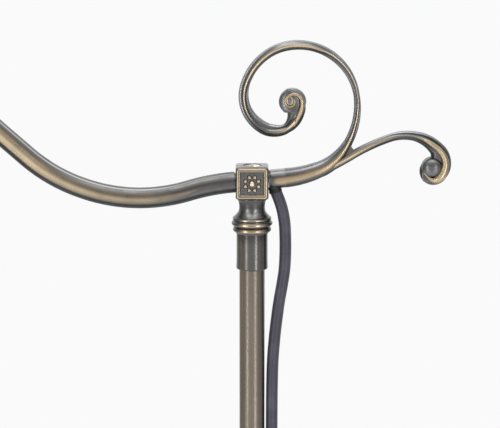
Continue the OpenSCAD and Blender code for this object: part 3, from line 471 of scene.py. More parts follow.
def sweep(path, rings, sides=None):
    """The shell of a closed tube; each station has its ring of (side, up) offsets in metres."""
    tangents, carried = section_frames(path)
    points = []
    for p, t, s, ring in zip(path, tangents, carried if sides is None else sides, rings):
        up = np.cross(t, s)
        points += [np.asarray(p) + a * s + b * up for a, b in ring]
    return points, tube_faces(len(path), len(rings[0]))


def circle(radius, count):
    return [(radius * math.cos(TAU * k / count), radius * math.sin(TAU * k / count)) for k in range(count)]


def smooth_route(route, steps):
    """A smooth curve through given points."""
    p = [np.array(q, float) for q in route]
    found = []
    for i in range(len(p) - 1):
        a, b, c, d = p[max(i - 1, 0)], p[i], p[i + 1], p[min(i + 2, len(p) - 1)]
        for t in (k / steps for k in range(steps)):
            found.append(0.5 * (2 * b + (c - a) * t + (2 * a - 5 * b + 4 * c - d) * t * t
                                + (3 * b - a - 3 * c + d) * t ** 3))
    return [tuple(q) for q in found + [p[-1]]]


def head_point(x, z, y=0):
    """A place in metres, from millimetres towards +X, up and back from the arm's axis in the block."""
    return (x * MM, y * MM, bpy.context.scene.lamp_sizes.arm_height + z * MM)


def polar(points, x=0):
    """Each point's distance from an upright axis at x, and its height, in mm."""
    spots = np.array(points) / MM
    return np.hypot(spots[:, 0] - x / MM, spots[:, 1]), spots[:, 2]


def bump(value, centre, width):
    """1 at the centre, falling off smoothly over the width."""
    return np.exp(-(((np.asarray(value) - centre) / width) ** 2))


def bumps(value, *rows):
    """The sum of bumps, each given by its centre and width."""
    return sum(bump(value, centre, width) for centre, width in rows)


def ramp(value, low, high):
    """Smooth step from 0 at low to 1 at high."""
    t = np.clip((np.asarray(value) - low) / (high - low), 0, 1)
    return t * t * (3 - 2 * t)


def joined(shells):
    """Several shells in one; a mask that a shell doesn't have is 0 there."""
    points, faces, masks = [], [], {name: [] for name in MASKS}
    for shell_points, shell_faces, shell_masks in shells:
        offset = len(points)
        points += list(shell_points)
        faces += [tuple(i + offset for i in face) for face in shell_faces]
        for name, values in masks.items():
            values += list(np.zeros(len(shell_points)) + shell_masks.get(name, 0))
    return points, faces, masks


def ball(x, z, y, radii, rings=20, sides=32):
    """Points and faces of an ellipsoid about a place in the head; radii along X, Y and Z, all in mm."""
    turns = [math.pi * i / rings for i in range(rings + 1)]
    points, faces = lathe([(math.sin(a), math.cos(a)) for a in turns], sides)
    return np.array(points) * radii + head_point(x, z, y), faces


# ---- the stage

CAMERA_AIM = (-1.3, -20.9)
# The upright lamps stand round the head: name and turn in degrees from the camera's side
STRIPS = (("strip_left", -44), ("strip_right", 30))
STRIP_AWAY = 2.2  # metres from the head
FLOOR_RADIUS, FLOOR_THICK = 2600, 4  # mm


def aim(item, where, target):
    item.location = where
    item.rotation_euler = (Vector(target) - Vector(where)).to_track_quat("-Z", "Y").to_euler()


def area_lamp(name, where, target, width, height, watts):
    light = bpy.data.lights.new(name, "AREA")
    light.shape, light.size, light.size_y, light.energy = "RECTANGLE", width, height, watts
    lamp = linked(name, light)
    aim(lamp, where, target)
    lamp.visible_camera = False


class LAMP_OT_studio(bpy.types.Operator):
    """Camera, white surroundings, floor and lamps"""

    bl_idname = "lamp.studio"
    bl_label = "Studio"

    def execute(self, context):
        scene = context.scene
        studio, hues = scene.lamp_studio, scene.lamp_colours
        target = Vector(head_point(*CAMERA_AIM))
        data = bpy.data.cameras.new("camera")
        data.lens, data.sensor_width, data.clip_end = studio.lens, 36, 60
        camera = linked("camera", data)
        lift = math.radians(studio.elevation)
        aim(camera, target + studio.distance * Vector((0, -math.cos(lift), math.sin(lift))), target)
        scene.camera = camera
        scene.view_settings.view_transform = "Standard"

        points, faces = lathe([(0, 0), (FLOOR_RADIUS, 0), (FLOOR_RADIUS, -FLOOR_THICK), (0, -FLOOR_THICK)])
        mesh = bpy.data.meshes.new("floor")
        mesh.from_pydata(points, [], faces)
        floor = linked("floor", mesh)
        floor.location.z = -0.0002
        r = Recipe("studio_floor")
        paper = r.blend(hues.studio, tuple(c * 0.985 for c in hues.studio), r.noise(6, 3))
        mesh.materials.append(r.finish(paper, 0.9, Specular_IOR_Level=0.1))

        world = bpy.data.worlds.new("studio_world")
        world.use_nodes = True
        tree = world.node_tree
        tree.nodes.clear()
        r = Recipe.__new__(Recipe)
        r.nodes, r.links = tree.nodes, tree.links
        seen = r.add("ShaderNodeLightPath", out="Is Camera Ray")
        way = r.add("ShaderNodeTexCoord", out="Generated")
        split = r.nodes.new("ShaderNodeSeparateXYZ")
        r.feed(split.inputs[0], way)
        across, back, up = (Wire(r, split.outputs[axis]) for axis in "XYZ")
        # What the metal sees: brighter above and behind, darker low in front, below and at the sides
        over = up.step(0.45, 0.95, 0, 0.5)
        behind = back.step(0.45, 0.97, 0, 0.75) * up.step(-0.4, 0.15)
        shelf = (0 - back).step(0.1, 0.7) * up.step(0.1, 0.3) * up.step(0.5, 0.8, 1, 0) * 0.42
        beneath = back.step(0, 0.6) * up.step(-0.6, -0.1, 1, 0) * 0.5
        flank = abs(across).step(0.55, 0.95) * up.step(0.2, 0.7, 1, 0) * 0.34
        light = (0.9 + over + behind - shelf - beneath - flank) * studio.world
        white = (*linear(hues.studio), 1)
        kind = "ShaderNodeBackground"
        shown = r.add(kind, None, {"Color": white, "Strength": 1}, out="Background")
        cast = r.add(kind, None, {"Color": (1, 1, 1, 1), "Strength": light}, out="Background")
        both = r.add("ShaderNodeMixShader", None, {0: seen, 1: cast, 2: shown}, out="Shader")
        end = r.nodes.new("ShaderNodeOutputWorld")
        r.feed(end.inputs["Surface"], both)
        scene.world = world

        middle = Vector(head_point(0, -20))
        for name, turn in STRIPS:
            a = math.radians(turn)
            where = middle + Vector((STRIP_AWAY * math.sin(a), -STRIP_AWAY * math.cos(a), -0.3))
            area_lamp(name, where, (middle.x, middle.y, where.z), 0.16, 2.6, studio.strip)
        area_lamp("overhead", middle + Vector((-0.1, -0.5, 2)), middle, 1.6, 0.9, studio.top)
        return {"FINISHED"}


# ---- the lead

# The loop's line in mm: towards +X from the pole's axis, and down from the arm's axis
LOOP_ROUTE = [
    (13.73, 2.92), (15.2, 7.1), (17.3, 12.5), (19.1, 18.5), (20.4, 26), (20.9, 34), (21, 45), (20.5, 56),
    (19.1, 66), (17.2, 77), (15.6, 89), (14.2, 102), (13, 120), (12.6, 150), (12.6, 190), (12.7, 235),
    (13.1, 275), (13.4, 303), (13.4, 322), (12.8, 329), (11, 336), (8, 342), (5.4, 346.7), (2.4, 353),
    (0.6, 360), (0, 367), (0, 381),
]
# From the foot's rim over the floor to the coil: x, y and height in mm
FLOOR_ROUTE = [
    (-57.5, 157.9, 8), (-60.5, 166, 7.6), (-66, 177, 6.6), (-76, 187, 5.4), (-91, 195.5, 4.6),
    (-108, 200, 4.2), (-126, 202, 4.1), (-146, 202, 4.1), (-157.5, 202, 4.1),
]
COIL_CENTRE = (-165, 149.95)
COIL_TURNS, COIL_STEPS = 7, 36


def coil_path():
    """Points of the stored coil in mm: in along the lower layer, up, and out along the upper one."""
    layer, pitch, inner, low = 3.25, 7.4, 28, 4.1
    found = []
    for u in (i / COIL_STEPS for i in range(COIL_TURNS * COIL_STEPS + 1)):
        climb = min(1, max(0, (u - layer) * 2))
        radius = inner + pitch * max(layer - u, 0, u - layer - 0.5) - 2 * math.sin(math.pi * climb)
        a = TAU * (u + 0.25)
        found.append((COIL_CENTRE[0] + radius * math.cos(a), COIL_CENTRE[1] + radius * math.sin(a),
                      low + pitch * climb * climb * (3 - 2 * climb)))
    return found


def lead_section(radius, sides, groove):
    """Round sheath with a shallow groove on two sides, where its two cores lie apart."""
    ring = []
    for a in (TAU * k / sides for k in range(sides)):
        dent = sum(math.exp(-((math.remainder(a - at, TAU) / 0.16) ** 2)) for at in (groove, groove + math.pi))
        r = radius * (1 - 0.07 * dent)
        ring.append((r * math.cos(a), r * math.sin(a)))
    return ring


def in_metres(route):
    return [tuple(c * MM for c in p) for p in route]


class LAMP_OT_lead(bpy.types.Operator):
    """The mains lead: the loop beside the pole, and the stretch and coil on the floor"""

    bl_idname = "lamp.lead"
    bl_label = "Mains lead"

    def execute(self, context):
        sizes = context.scene.lamp_sizes
        radius = sizes.lead_d / 2
        loop = smooth_route([head_point(x, -down) for x, down in LOOP_ROUTE], 6)
        ring = lead_section(radius * 1.1, 32, 0.5)
        sides = np.cross(section_frames(loop)[0], (0, 1, 0))
        sides /= np.linalg.norm(sides, axis=1)[:, None]
        piece = new_piece("lead_loop", sweep(loop, [ring] * len(loop), sides), "lead", crease=60)
        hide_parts("cord_loop")
        head_point(0, -18)
        head_point(0, -322)
        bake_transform(piece)

        way = smooth_route(in_metres(FLOOR_ROUTE), 6) + in_metres(coil_path())
        way.append(tuple(Vector(way[-1]) + Vector((-0.0075, 0, 0))))
        shell = sweep(way, [lead_section(radius, 20, 1.2)] * len(way))
        piece = add_piece("lead_coil", shell, "lead", 60, "stand", "cord_sheath", "floor_cord", "cord_coil")
        dress(
            tie="cord_tie", plug="plug_body", bright_contact="plug_blades",
            rubber="cord_bushing pole_grommet arm_bushing", lead="pole_wire",
        )
        return {"FINISHED"}


# ---- the arm

SLOPE = 5  # degrees by which the arm and the stem leave the block downwards and upwards
SEEN_LIFT = 0.5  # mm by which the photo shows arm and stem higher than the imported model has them
SEEN_SHARE = 0.52  # the arm's radius as the photo shows it, as a share of its diameter


def arm_path():
    """Stations [x, z, pitch in degrees] of the arm's axis in mm from the block's centre; the arm goes to -X."""
    rise, climb = -17, 42
    # Bend radius, pitch at both ends, +1 where it bends up, and the straight run that follows
    bends = ((136, -SLOPE, rise, -1, 0), (105, rise, climb, 1, 75), (75, climb, -90, -1, 9))

    def onward(p, run, pitch):
        a = math.radians(pitch)
        return (p[0] - run * math.cos(a), p[1] + run * math.sin(a))

    stations = [(*onward((0, 0), 10.7, -SLOPE), -SLOPE)]
    p = onward((0, 0), 12, -SLOPE)
    for radius, start, end, sense, run in bends:
        count = max(4, int(abs(end - start) / 1.5))
        a = math.radians(start)
        for i in range(count + 1):
            pitch = start + (end - start) * i / count
            b = math.radians(pitch)
            stations.append((p[0] + sense * radius * (math.sin(a) - math.sin(b)),
                             p[1] + sense * radius * (math.cos(a) - math.cos(b)), pitch))
        x, z, _ = stations[-1]
        p = onward((x, z), run, end)
        if run > 0:
            stations += [(x + (p[0] - x) * k / 6, z + (p[1] - z) * k / 6, end) for k in range(1, 6)]
    stations.append((*p, -90))
    kept = stations[:1]
    for s in stations[1:]:
        if math.dist(s[:2], kept[-1][:2]) > 0.05:
            kept.append(s)
    return kept


class LAMP_OT_arm(bpy.types.Operator):
    """The bent arm tube, brass along its lower front and back as wear and painted reflection, with painted highlight
    and shade bands
    """

    bl_idname = "lamp.arm"
    bl_label = "Arm"

    def execute(self, context):
        sizes = context.scene.lamp_sizes
        stations, count = np.array(arm_path()), sizes.sides
        radius = sizes.arm_d * SEEN_SHARE
        lift = np.interp(-stations[:, 0], (0, 105, 158, 220), (SEEN_LIFT, SEEN_LIFT, -0.4, 0))
        path = [head_point(x, z) for x, z in zip(stations[:, 0], stations[:, 1] + lift)]
        sides = np.array([(0, 1, 0)] * len(path))
        points, faces = sweep(path, [circle(radius, count)] * len(path), sides)
        across = np.array(points).reshape(len(path), count, 3) - np.array(path)[:, None, :]
        pitch = np.radians(stations[:, 2])
        over = np.stack([np.sin(pitch), 0 * pitch, np.cos(pitch)], 1)
        angle = np.degrees(np.arccos(np.clip((across * over[:, None, :]).sum(2) / radius, -1, 1)))
        along = stations[:, 0, None] + 0 * angle
        strength = 0.75 + 0.25 * np.sin(along * 0.035 + 0.6)
        broad = ramp(-along, 34, 68)
        # Painted by the angle from the tube's top, alike front and back: a brass band of wear and painted reflection
        # with a painted highlight in it, a painted pale reflection line near the top, and painted shade at the top
        # edge, in a band lower down and underneath
        masks = {
            "rub": bump(angle, 90, 8 + 26 * broad) * strength * ramp(-along, 27, 40),
            "shine": bump(angle, 93, 13) * 0.7 * strength * broad,
            "rim": bump(angle, 30, 5.5) * (1.1 + 1.1 * broad),
            "dark": bump(angle, 10, 9) * 0.45 + bump(angle, 52, 9) * 0.3 + ramp(angle, 108, 126) * 0.75,
        }
        shell = points, faces, {name: values.ravel() for name, values in masks.items()}
        add_piece("arm_tube", shell, "arm", 60, "head", "arm_bronze", "bridge_arm")
        return {"FINISHED"}


# ---- the cast double scroll

# Where both bands begin: x and z in mm, heading in degrees, half width, and the turn so far
BAND_START = (21.06, 1.84, 5, 6.1, 5)
# Bend radius in mm, turn in degrees (left turns positive) and half width at the row's end
BIG_ROWS = [(63.2, 17.3, 5.4), (41.2, 40.4, 2.8), (47.3, 37.3, 2), (37.4, 45.5, 2.8), (36.5, 37.5, 3.1),
            (35.2, 67.1, 2.9), (24.6, 82.6, 3.6), (13.8, 63.1, 3.2), (13.4, 47.1, 5.4), (6.2, 26.9, 6.9)]
SMALL_ROWS = [(86.5, 17, 4), (61.7, 4.9, 2.9), (200.1, 4.1, 2.7), (-118.5, 12.7, 2.6), (-28.9, 28.9, 3.1),
              (-24.3, 38.5, 4.8), (-10.5, 55.1, 7.4), (-6.3, 32.8, 8.5)]
# How the ridge lies on each band, by the way's total turn in degrees: its centre and half width as shares of
# the half width (+1 is the left edge), its height, then brass (wear and painted reflection), painted highlight,
# painted pale reflection on the left edge and on the right edge, painted shade on the left and right flanks
BIG_LOOK = [
    (5, -0.1, 0.36, 0, 0.95, 0.1, 0.45, 0, 0.5, 0.9),
    (20, 0.02, 0.46, 0.1, 1, 0.3, 0.6, 0, 0.3, 0.8),
    (33, -0.1, 0.5, 0.3, 1, 0.5, 1, 0, 0, 0.6),
    (45, -0.15, 0.38, 0.5, 1, 0.4, 0.9, 0, 0.1, 0.5),
    (60, -0.1, 0.34, 0.7, 0.85, 0.9, 1, 0.3, 0, 0.6),
    (75, 0, 0.24, 0.8, 0.35, 1, 1, 0.8, 0, 0.2),
    (88, -0.12, 0.24, 0.8, 0.2, 1, 1, 1, 0, 0.2),
    (100, -0.35, 0.2, 0.6, 0.1, 0.7, 1, 1, 0, 0),
    (111, -0.36, 0.16, 0.8, 0.1, 1, 1, 1, 0.2, 0),
    (133, -0.25, 0.17, 0.9, 0.1, 1, 0.6, 0.9, 0.5, 0.1),
    (145, -0.15, 0.2, 0.9, 0.2, 1, 0.3, 1, 0.6, 0.2),
    (158, 0.05, 0.34, 1, 0.7, 0.5, 0.2, 1, 0.6, 0.2),
    (175, 0.05, 0.4, 1, 0.85, 0.8, 0.1, 1, 0.3, 0.2),
    (194, 0.02, 0.42, 1, 0.85, 0.8, 0.1, 1, 0.25, 0),
    (217, 0.15, 0.34, 1, 1, 0.8, 0.7, 1.5, 0.4, 0),
    (240, 0.2, 0.32, 1, 0.9, 0.9, 1.1, 1.5, 0.3, 0.2),
    (262, 0.15, 0.28, 1, 0.7, 1, 1.5, 1.6, 0.2, 0.3),
    (285, 0, 0.22, 1, 0.4, 0.8, 1.5, 1.6, 0.2, 0.3),
    (300, -0.1, 0.2, 1, 0.2, 0.5, 1.4, 1.2, 0.2, 0.6),
    (321, -0.15, 0.2, 0.9, 0.15, 0.1, 1.15, 0.5, 0.2, 0.8),
    (345, -0.2, 0.26, 0.9, 0.4, 0, 1, 0.2, 0.2, 0.8),
    (364, -0.15, 0.28, 0.9, 0.6, 0.1, 1, 0.1, 0.3, 0.8),
    (385, -0.08, 0.34, 1, 0.9, 0.4, 0.9, 0, 0.5, 0.7),
    (408, -0.1, 0.32, 1, 1, 0.8, 0.3, 0, 0.6, 0.7),
    (422, -0.18, 0.3, 0.9, 1, 1, 0.2, 0, 0.7, 0.7),
    (440, -0.28, 0.24, 0.4, 0.5, 0.5, 0.1, 0, 0.7, 0.8),
    (460, -0.3, 0.2, 0, 0, 0, 0, 0.3, 0.5, 0.5),
    (480, 0, 0.2, 0, 0, 0, 0.5, 1, 0.3, 0),
    (700, 0, 0.2, 0, 0, 0, 0.5, 0.8, 0.3, 0),
]
SMALL_LOOK = [
    (5, -0.1, 0.36, 0, 0.95, 0.1, 0.45, 0, 0.5, 0.9),
    (20, 0.1, 0.46, 0.2, 1, 0.4, 0.6, 0, 0, 0.8),
    (31, 0, 0.5, 0.6, 1, 0.8, 0.4, 0, 0.1, 0.6),
    (40, 0.05, 0.34, 0.8, 0.7, 0.3, 1, 0, 0, 0.8),
    (58, 0, 0.2, 0.8, 0.25, 0.3, 1, 0, 0.5, 0.9),
    (75, 0, 0.22, 0.9, 0.4, 0.3, 0.9, 0, 0.6, 0.9),
    (90, 0.08, 0.28, 1, 0.8, 0.4, 0.8, 0, 0.6, 0.9),
    (100, 0.12, 0.28, 0.9, 0.9, 0.5, 0.6, 0, 0.8, 0.9),
    (115, 0.2, 0.26, 0.3, 0.4, 0.2, 0.2, 0, 0.8, 0.9),
    (130, 0.2, 0.26, 0, 0, 0, 0.1, 0, 0.8, 0.8),
    (220, 0.2, 0.3, 0, 0, 0, 0.1, 0.1, 0.7, 0.7),
]
# Small corrections of the bands, by the total turn: mm to the left and mm of half width
BIG_NUDGE = [(5, 0.5, 0.1), (15, 0.4, 0.1), (33, 0, 0), (205, 0, 0), (245, 0.5, 0), (290, 0.6, 0.2), (318, 1, 0.5),
             (350, 1.1, 0.6), (362, 1, 0.55), (374, 0.65, 0.35), (386, 0.25, 0.15), (398, 0.05, 0), (405, 0, 0)]
SMALL_NUDGE = [(5, 0.5, 0.1), (15, 0.4, 0.1), (26, 0, 0)]
# Ridges over the volute and the hook: x, z and, where it differs, depth in mm
VOLUTE_RIDGE = [(26, 35.8, 2.4), (28, 39.9, 3.9), (29.6, 43.5, 4.4), (30.9, 47), (31.2, 50.4), (30.4, 53.3),
                (28.2, 55.4), (25, 55.7), (22.1, 54.4), (20.6, 51.7), (21.3, 49.1), (23.6, 47.9), (25.9, 49),
                (26.7, 51.3), (25.8, 53.3)]
HOOK_RIDGE = [(107.5, 27.1, 3), (111.6, 24.8, 3.7), (116.1, 21.4, 4.1), (118.8, 18.2), (120.4, 15.1),
              (121, 11.5), (120.3, 7.9), (118.6, 4.5), (116.2, 2.2), (113.3, 1.6), (110.3, 3.3), (107.6, 6.1)]
# Their radii in mm, from start to end
VOLUTE_RADII = (0.8, 1.3, 1.6, 1.6, 1.45, 1.2, 1, 0.85, 0.75, 0.7, 0.65, 0.6, 0.55, 0.4)
HOOK_RADII = (0.8, 1.4, 1.8, 2, 2.2, 2.4, 2.7, 2.9, 2.6, 1.6, 0.7, 0.4)
# The web in the crotch between the two bands, x and z
WEB = [(66.2, 18), (57.3, 14.2), (53.4, 15.2), (57.1, 19.6), (60, 22.4), (61.7, 23.1), (63, 21), (64.2, 19.2)]


def row_at(table, at):
    """A table's other columns, interpolated where its first column reaches a value."""
    return [np.interp(at, table[:, 0], column) for column in table.T[1:]]


def band_stations(rows, end_radius):
    """Stations [x, z, heading, half width, total turn] along a band, then its round end; mm and degrees."""
    found = [BAND_START]
    for radius, turn, end_half in rows:
        x, z, heading, half, turned = found[-1]
        count = max(6, round(turn / 1.1))
        for t in (k / count for k in range(1, count + 1)):
            way = heading + math.copysign(turn, radius) * t
            g, h = math.radians(way), math.radians(heading)
            found.append((x + radius * (math.sin(g) - math.sin(h)), z - radius * (math.cos(g) - math.cos(h)),
                          way, half + (end_half - half) * t, turned + turn * t))
    x, z, heading, half, turned = found[-1]
    way, first, last = math.radians(heading), -math.acos(half / end_radius), math.radians(89.3)
    for t in (k / 24 for k in range(1, 25)):
        a = first + (last - first) * t
        run = end_radius * (math.sin(a) - math.sin(first))
        found.append((x + run * math.cos(way), z + run * math.sin(way), heading, end_radius * math.cos(a),
                      turned + 60 * t))
    return found


def band(rows, look, nudge, end_radius, end_depth):
    """One swept band of the casting with its raised ridge, the same front and back."""
    look, nudge = np.array(look), np.array(nudge)
    shares = np.cos(np.linspace(0, np.pi, 41))
    front = np.concatenate([np.ones(41), -np.ones(39)])
    t = np.concatenate([shares, shares[-2:0:-1]])
    points, masks = [], {name: [] for name in MASKS}
    stations = band_stations(rows, end_radius)
    whole = BAND_START[-1] + sum(row[1] for row in rows)
    for x, z, heading, half, turned in stations:
        centre, width, height, rub, shine, rim_left, rim_right, dark_left, dark_right = row_at(look, turned)
        aside, wider = row_at(nudge, turned)
        deep = min(6, max(half * 0.95, 2.4))
        deep += (min(deep, end_depth) - deep) * ramp(turned, whole - 110, whole - 30)
        body = np.sqrt(np.clip(1 - np.abs(t) ** (2 + 0.5 * height), 0, 1))
        ridge = bump(t, centre, max(width, 0.24) * 1.05)
        valley = bumps(t, (centre + 1.75 * width, width * 0.55), (centre - 1.75 * width, width * 0.55))
        level = body * (1 - 0.28 * height) + height * body * (0.32 * ridge - 0.1 * valley)
        left = np.array((-math.sin(math.radians(heading)), math.cos(math.radians(heading))))
        places = (x, z) + np.outer(aside + t * (half + wider), left)
        points += [head_point(px, pz, y) for (px, pz), y in zip(places, -front * level * deep)]
        # Painted from the look table: brass on the ridge as wear and painted reflection, a painted highlight on it,
        # painted pale reflections along the edges and painted shade in the flanks
        plain = bump(t, centre, width * 0.95)
        masks["rub"] += list(rub * plain)
        masks["shine"] += list(shine * bump(t, centre, max(width * 0.34, 0.16)))
        masks["rim"] += list(rim_left * ramp(t, 0.46, 0.74) + rim_right * ramp(-t, 0.4, 0.62))
        left_flank = bump(t, centre + 1.7 * width, width * 0.5) * height + dark_left * bump(t, 0.62, 0.24) * 0.8
        right_flank = bump(t, centre - 1.7 * width, width * 0.5) * height + dark_right * bump(t, -0.8, 0.24)
        flanks = left_flank * (0.4 + 0.6 * dark_left) + right_flank * (0.4 + 0.6 * dark_right)
        masks["dark"] += list(np.clip(flanks, 0, 1) * (1 - 0.8 * plain * rub))
    return points, tube_faces(len(stations), len(t)), masks


def ridge_bead(route, radii, depth, side):
    """A rounded ridge laid on the casting along given points; side is -1 in front, 1 behind."""
    flat = [(p[0], side * (p[2] if len(p) > 2 else depth), p[1]) for p in route]
    path = [head_point(x, z, y) for x, y, z in smooth_route(flat, 8)]
    radius = np.interp(np.linspace(0, 1, len(path)), np.linspace(0, 1, len(radii)), radii)
    points, faces = sweep(path, [circle(r * MM, 16) for r in radius])
    offset = np.array(points).reshape(len(path), 16, 3) - np.array(path)[:, None, :]
    out = (side * offset[:, :, 1] / (radius[:, None] * MM)).ravel()
    # Brass and a painted highlight on the side facing out, painted shade on the side towards the casting
    return points, faces, {"rub": ramp(out, -0.3, 0.5) * 0.78, "shine": ramp(out, 0.86, 1) * 0.6,
                           "dark": ramp(-out, -0.3, 0.4) * 0.7}


class LAMP_OT_scroll(bpy.types.Operator):
    """The cast stem and double scroll with ridges, volute and curled end"""

    bl_idname = "lamp.scroll"
    bl_label = "Double scroll"

    def execute(self, context):
        shells = [band(BIG_ROWS, BIG_LOOK, BIG_NUDGE, 8.6, 4.2),
                  band(SMALL_ROWS, SMALL_LOOK, SMALL_NUDGE, 8.9, 3.9)]
        for side in (-1, 1):
            shells.append(ridge_bead(VOLUTE_RIDGE, VOLUTE_RADII, 4.4, side))
            shells.append(ridge_bead(HOOK_RIDGE, HOOK_RADII, 4.3, side))
            points, faces = ball(23.7, 51.7, side * 4.4, (2.8, 1.2, 3))
            # The button: brass on its flank, a painted pale reflection on its most proud point, painted shade where
            # it sinks into the casting
            rise = side * (points[:, 1] / MM - side * 4.4) / 1.2
            shells.append((points, faces, {"rub": bump(rise, 0.55, 0.4) * 0.8, "dark": ramp(-rise, -0.2, 0.3),
                                           "rim": ramp(rise, 0.55, 1) * 0.6}))
            shells.append((*ball(113.1, 9.1, side * 1.8, (7, 5.5, 6.6), 28, 48), {"rim": 0.3}))
        points = [head_point(x, z, y) for y in (-1.5, 1.5) for x, z in WEB]
        shells.append((points, tube_faces(2, len(WEB)), {"rim": 0.2}))
        add_piece("double_scroll", joined(shells), "casting", 70, "head", "scroll_bronze", "scroll_finial")

        slope, radius = math.radians(SLOPE), 6.1
        outline = [(0, 10.3), (5.7, 10.3), (5.75, 11.2), (5.9, 11.7), (6.05, 12.2), (radius, 12.9)]
        outline += [(radius, 12.9 + 8.3 * k / 8) for k in range(1, 9)] + [(0, 21.2)]
        points, faces = lathe(outline, 64)
        down, y, x = np.array(points).T
        lying = np.stack([x * math.cos(slope) + down * math.sin(slope), y,
                          x * math.sin(slope) - down * math.cos(slope)], 1)
        lean = (lying[:, 2] - lying[:, 0] * math.tan(slope)) / (radius * MM)
        # Painted by the height across the stem: a painted pale reflection on top, painted shade bands and underneath,
        # brass on its side as wear and painted reflection, and a painted pale reflection on its neck by the block
        neck = ramp(-x / MM, -12.4, -11.8)
        top = ramp(lean, 0.25, 0.5) * 0.45 + ramp(lean, 0.66, 0.86) * 0.8
        dark = bump(lean, 0.24, 0.16) * 0.2 + bump(lean, 0.62, 0.11) * 0.42 + ramp(-lean, 0.6, 0.9) * 0.8
        masks = {
            "rub": bump(lean, -0.12, 0.42) * (1 - neck) * ramp(x / MM, 11, 17),
            "rim": np.maximum(top, neck * ramp(lean, -0.5, 0.1)),
            "dark": np.clip(dark * (1 - neck), 0, 1),
        }
        lying[:, 2] += context.scene.lamp_sizes.arm_height + SEEN_LIFT * MM
        piece = new_piece("scroll_stem_bronze", (lying, faces, masks), "casting", crease=50)
        bore(piece, new_piece("lead_way", drill(*sheath_axis(), 3.75, -0.5, 12), "rubber"))
        place_piece(piece, "head", "scroll_bronze", "scroll_stem")
        return {"FINISHED"}


def sheath_axis():
    """Where the lead's way out meets the arm's axis, and the way out's direction."""
    lean = math.radians(17)
    return head_point(12.5, 12.5 * math.tan(math.radians(SLOPE))), (math.sin(lean), 0, -math.cos(lean))


def drill(base, way, radius, start, end):
    """The shell of a rod along an axis, to cut a hole with; start and end are in mm from the base point."""
    path = [np.array(base) + np.array(way) * MM * (start + (end - start) * k / 4) for k in range(5)]
    return sweep(path, [circle(radius * MM, 40)] * 5)


def bore(piece, cutter):
    """Cuts the cutter out of the piece for good and throws the cutter away."""
    cut = piece.modifiers.new("bore", "BOOLEAN")
    cut.operation, cut.solver, cut.object = "DIFFERENCE", "EXACT", cutter
    shape = bpy.data.meshes.new_from_object(piece.evaluated_get(bpy.context.evaluated_depsgraph_get()))
    piece.modifiers.clear()
    piece.data = shape
    bpy.data.objects.remove(cutter)


# ---- block, neck and sleeve

PANEL_DEPTH = 9  # mm from the block's centre to the sunk panel's face


def frame_moulding(side):
    """The raised square frame round the sunk panel; side is -1 in front, 1 behind."""
    reach, radius, corner, count = 8.45, 1.28, 1, 20
    flat = reach - corner
    arcs = [arc(sx * flat, sz * flat, corner, 90 * i, 90 * i + 90, 4)
            for i, (sx, sz) in enumerate(((1, 1), (-1, 1), (-1, -1), (1, -1)))]
    route = []
    for bend, following in zip(arcs, arcs[1:] + arcs[:1]):
        start, run = np.array(bend[-1]), np.array(following[0]) - bend[-1]
        route += bend + [start + run * k / 6 for k in range(1, 6)]
    points, front, outward = [], [], []
    for i, place in enumerate(route):
        bx, bz = np.array(route[(i + 1) % len(route)]) - route[i - 1]
        away = np.array((bz, -bx)) / math.hypot(bx, bz)
        for a in (TAU * k / count for k in range(count)):
            r = radius * (1 + 0.12 * abs(math.sin(2 * a)))
            points.append(head_point(*(place + away * r * math.cos(a)), side * (9.35 + r * 0.86 * math.sin(a))))
            front.append(math.sin(a))
            outward.append(math.cos(a))
    front = np.array(front)
    # Brass on the face turned outwards with a painted highlight on its outer front, painted shade on the side turned
    # into the panel
    return points, tube_faces(len(route), count, True), {
        "rub": ramp(front, -0.2, 0.45) * 0.62, "dark": ramp(-front, -0.15, 0.3),
        "shine": bump(outward, 0.45, 0.22) * ramp(front, 0.2, 0.7) * 0.8,
    }


def bevelled_box(wide, deep, tall, edge, centre):
    """Points and faces of a box with rounded edges, all sizes in mm; centre is its height."""
    shape = bmesh.new()
    bmesh.ops.create_cube(shape, size=1, matrix=Matrix.Diagonal((wide * MM, deep * MM, tall * MM, 1)))
    bmesh.ops.bevel(shape, geom=list(shape.edges), offset=edge * MM, segments=5, profile=0.5, affect="EDGES")
    points = [(v.co.x, v.co.y, v.co.z + centre * MM) for v in shape.verts]
    faces = [tuple(v.index for v in f.verts) for f in shape.faces]
    shape.free()
    return points, faces


def stud(x, z, side, radii, rings, sides):
    """A stud on the sunk panel: its points, its faces and how far each point stands out in mm."""
    points, faces = ball(x, z, side * PANEL_DEPTH, radii, rings, sides)
    return points, faces, side * points[:, 1] / MM - PANEL_DEPTH


def panel_shells(side):
    """Frame, rosette and stippled corners of one panel; side is -1 in front, 1 behind."""
    points, faces, out = stud(0, 0, side, (2.2, 2.3, 2.2), 20, 32)
    # Brass and a painted highlight on the studs' most proud points, painted shade round the feet of the petals
    shells = [frame_moulding(side), (points, faces, {"rub": ramp(out, 0, 1), "shine": ramp(out, 1.3, 2.2)})]
    for a in (math.radians(22.5 + 45 * k) for k in range(8)):
        points, faces, out = stud(4.4 * math.cos(a), 4.4 * math.sin(a), side, (1.5, 1.4, 1.5), 12, 18)
        shells.append((points, faces, {"rub": ramp(out, 0.6, 1.2) * 0.55, "shine": ramp(out, 1, 1.35) * 0.6,
                                       "dark": ramp(-out, -0.7, -0.1) * 0.6}))
    for row in range(-6, 7):
        for column in range(-6, 7):
            x, z = column * 1.08 + (row % 2) * 0.3, row * 1.08
            if math.hypot(x, z) >= 6 and max(abs(x), abs(z)) <= 6.9:
                shells.append((*ball(x, z, side * (PANEL_DEPTH + 0.1), (0.36, 0.36, 0.36), 6, 8), {"rim": 0.5}))
    return shells


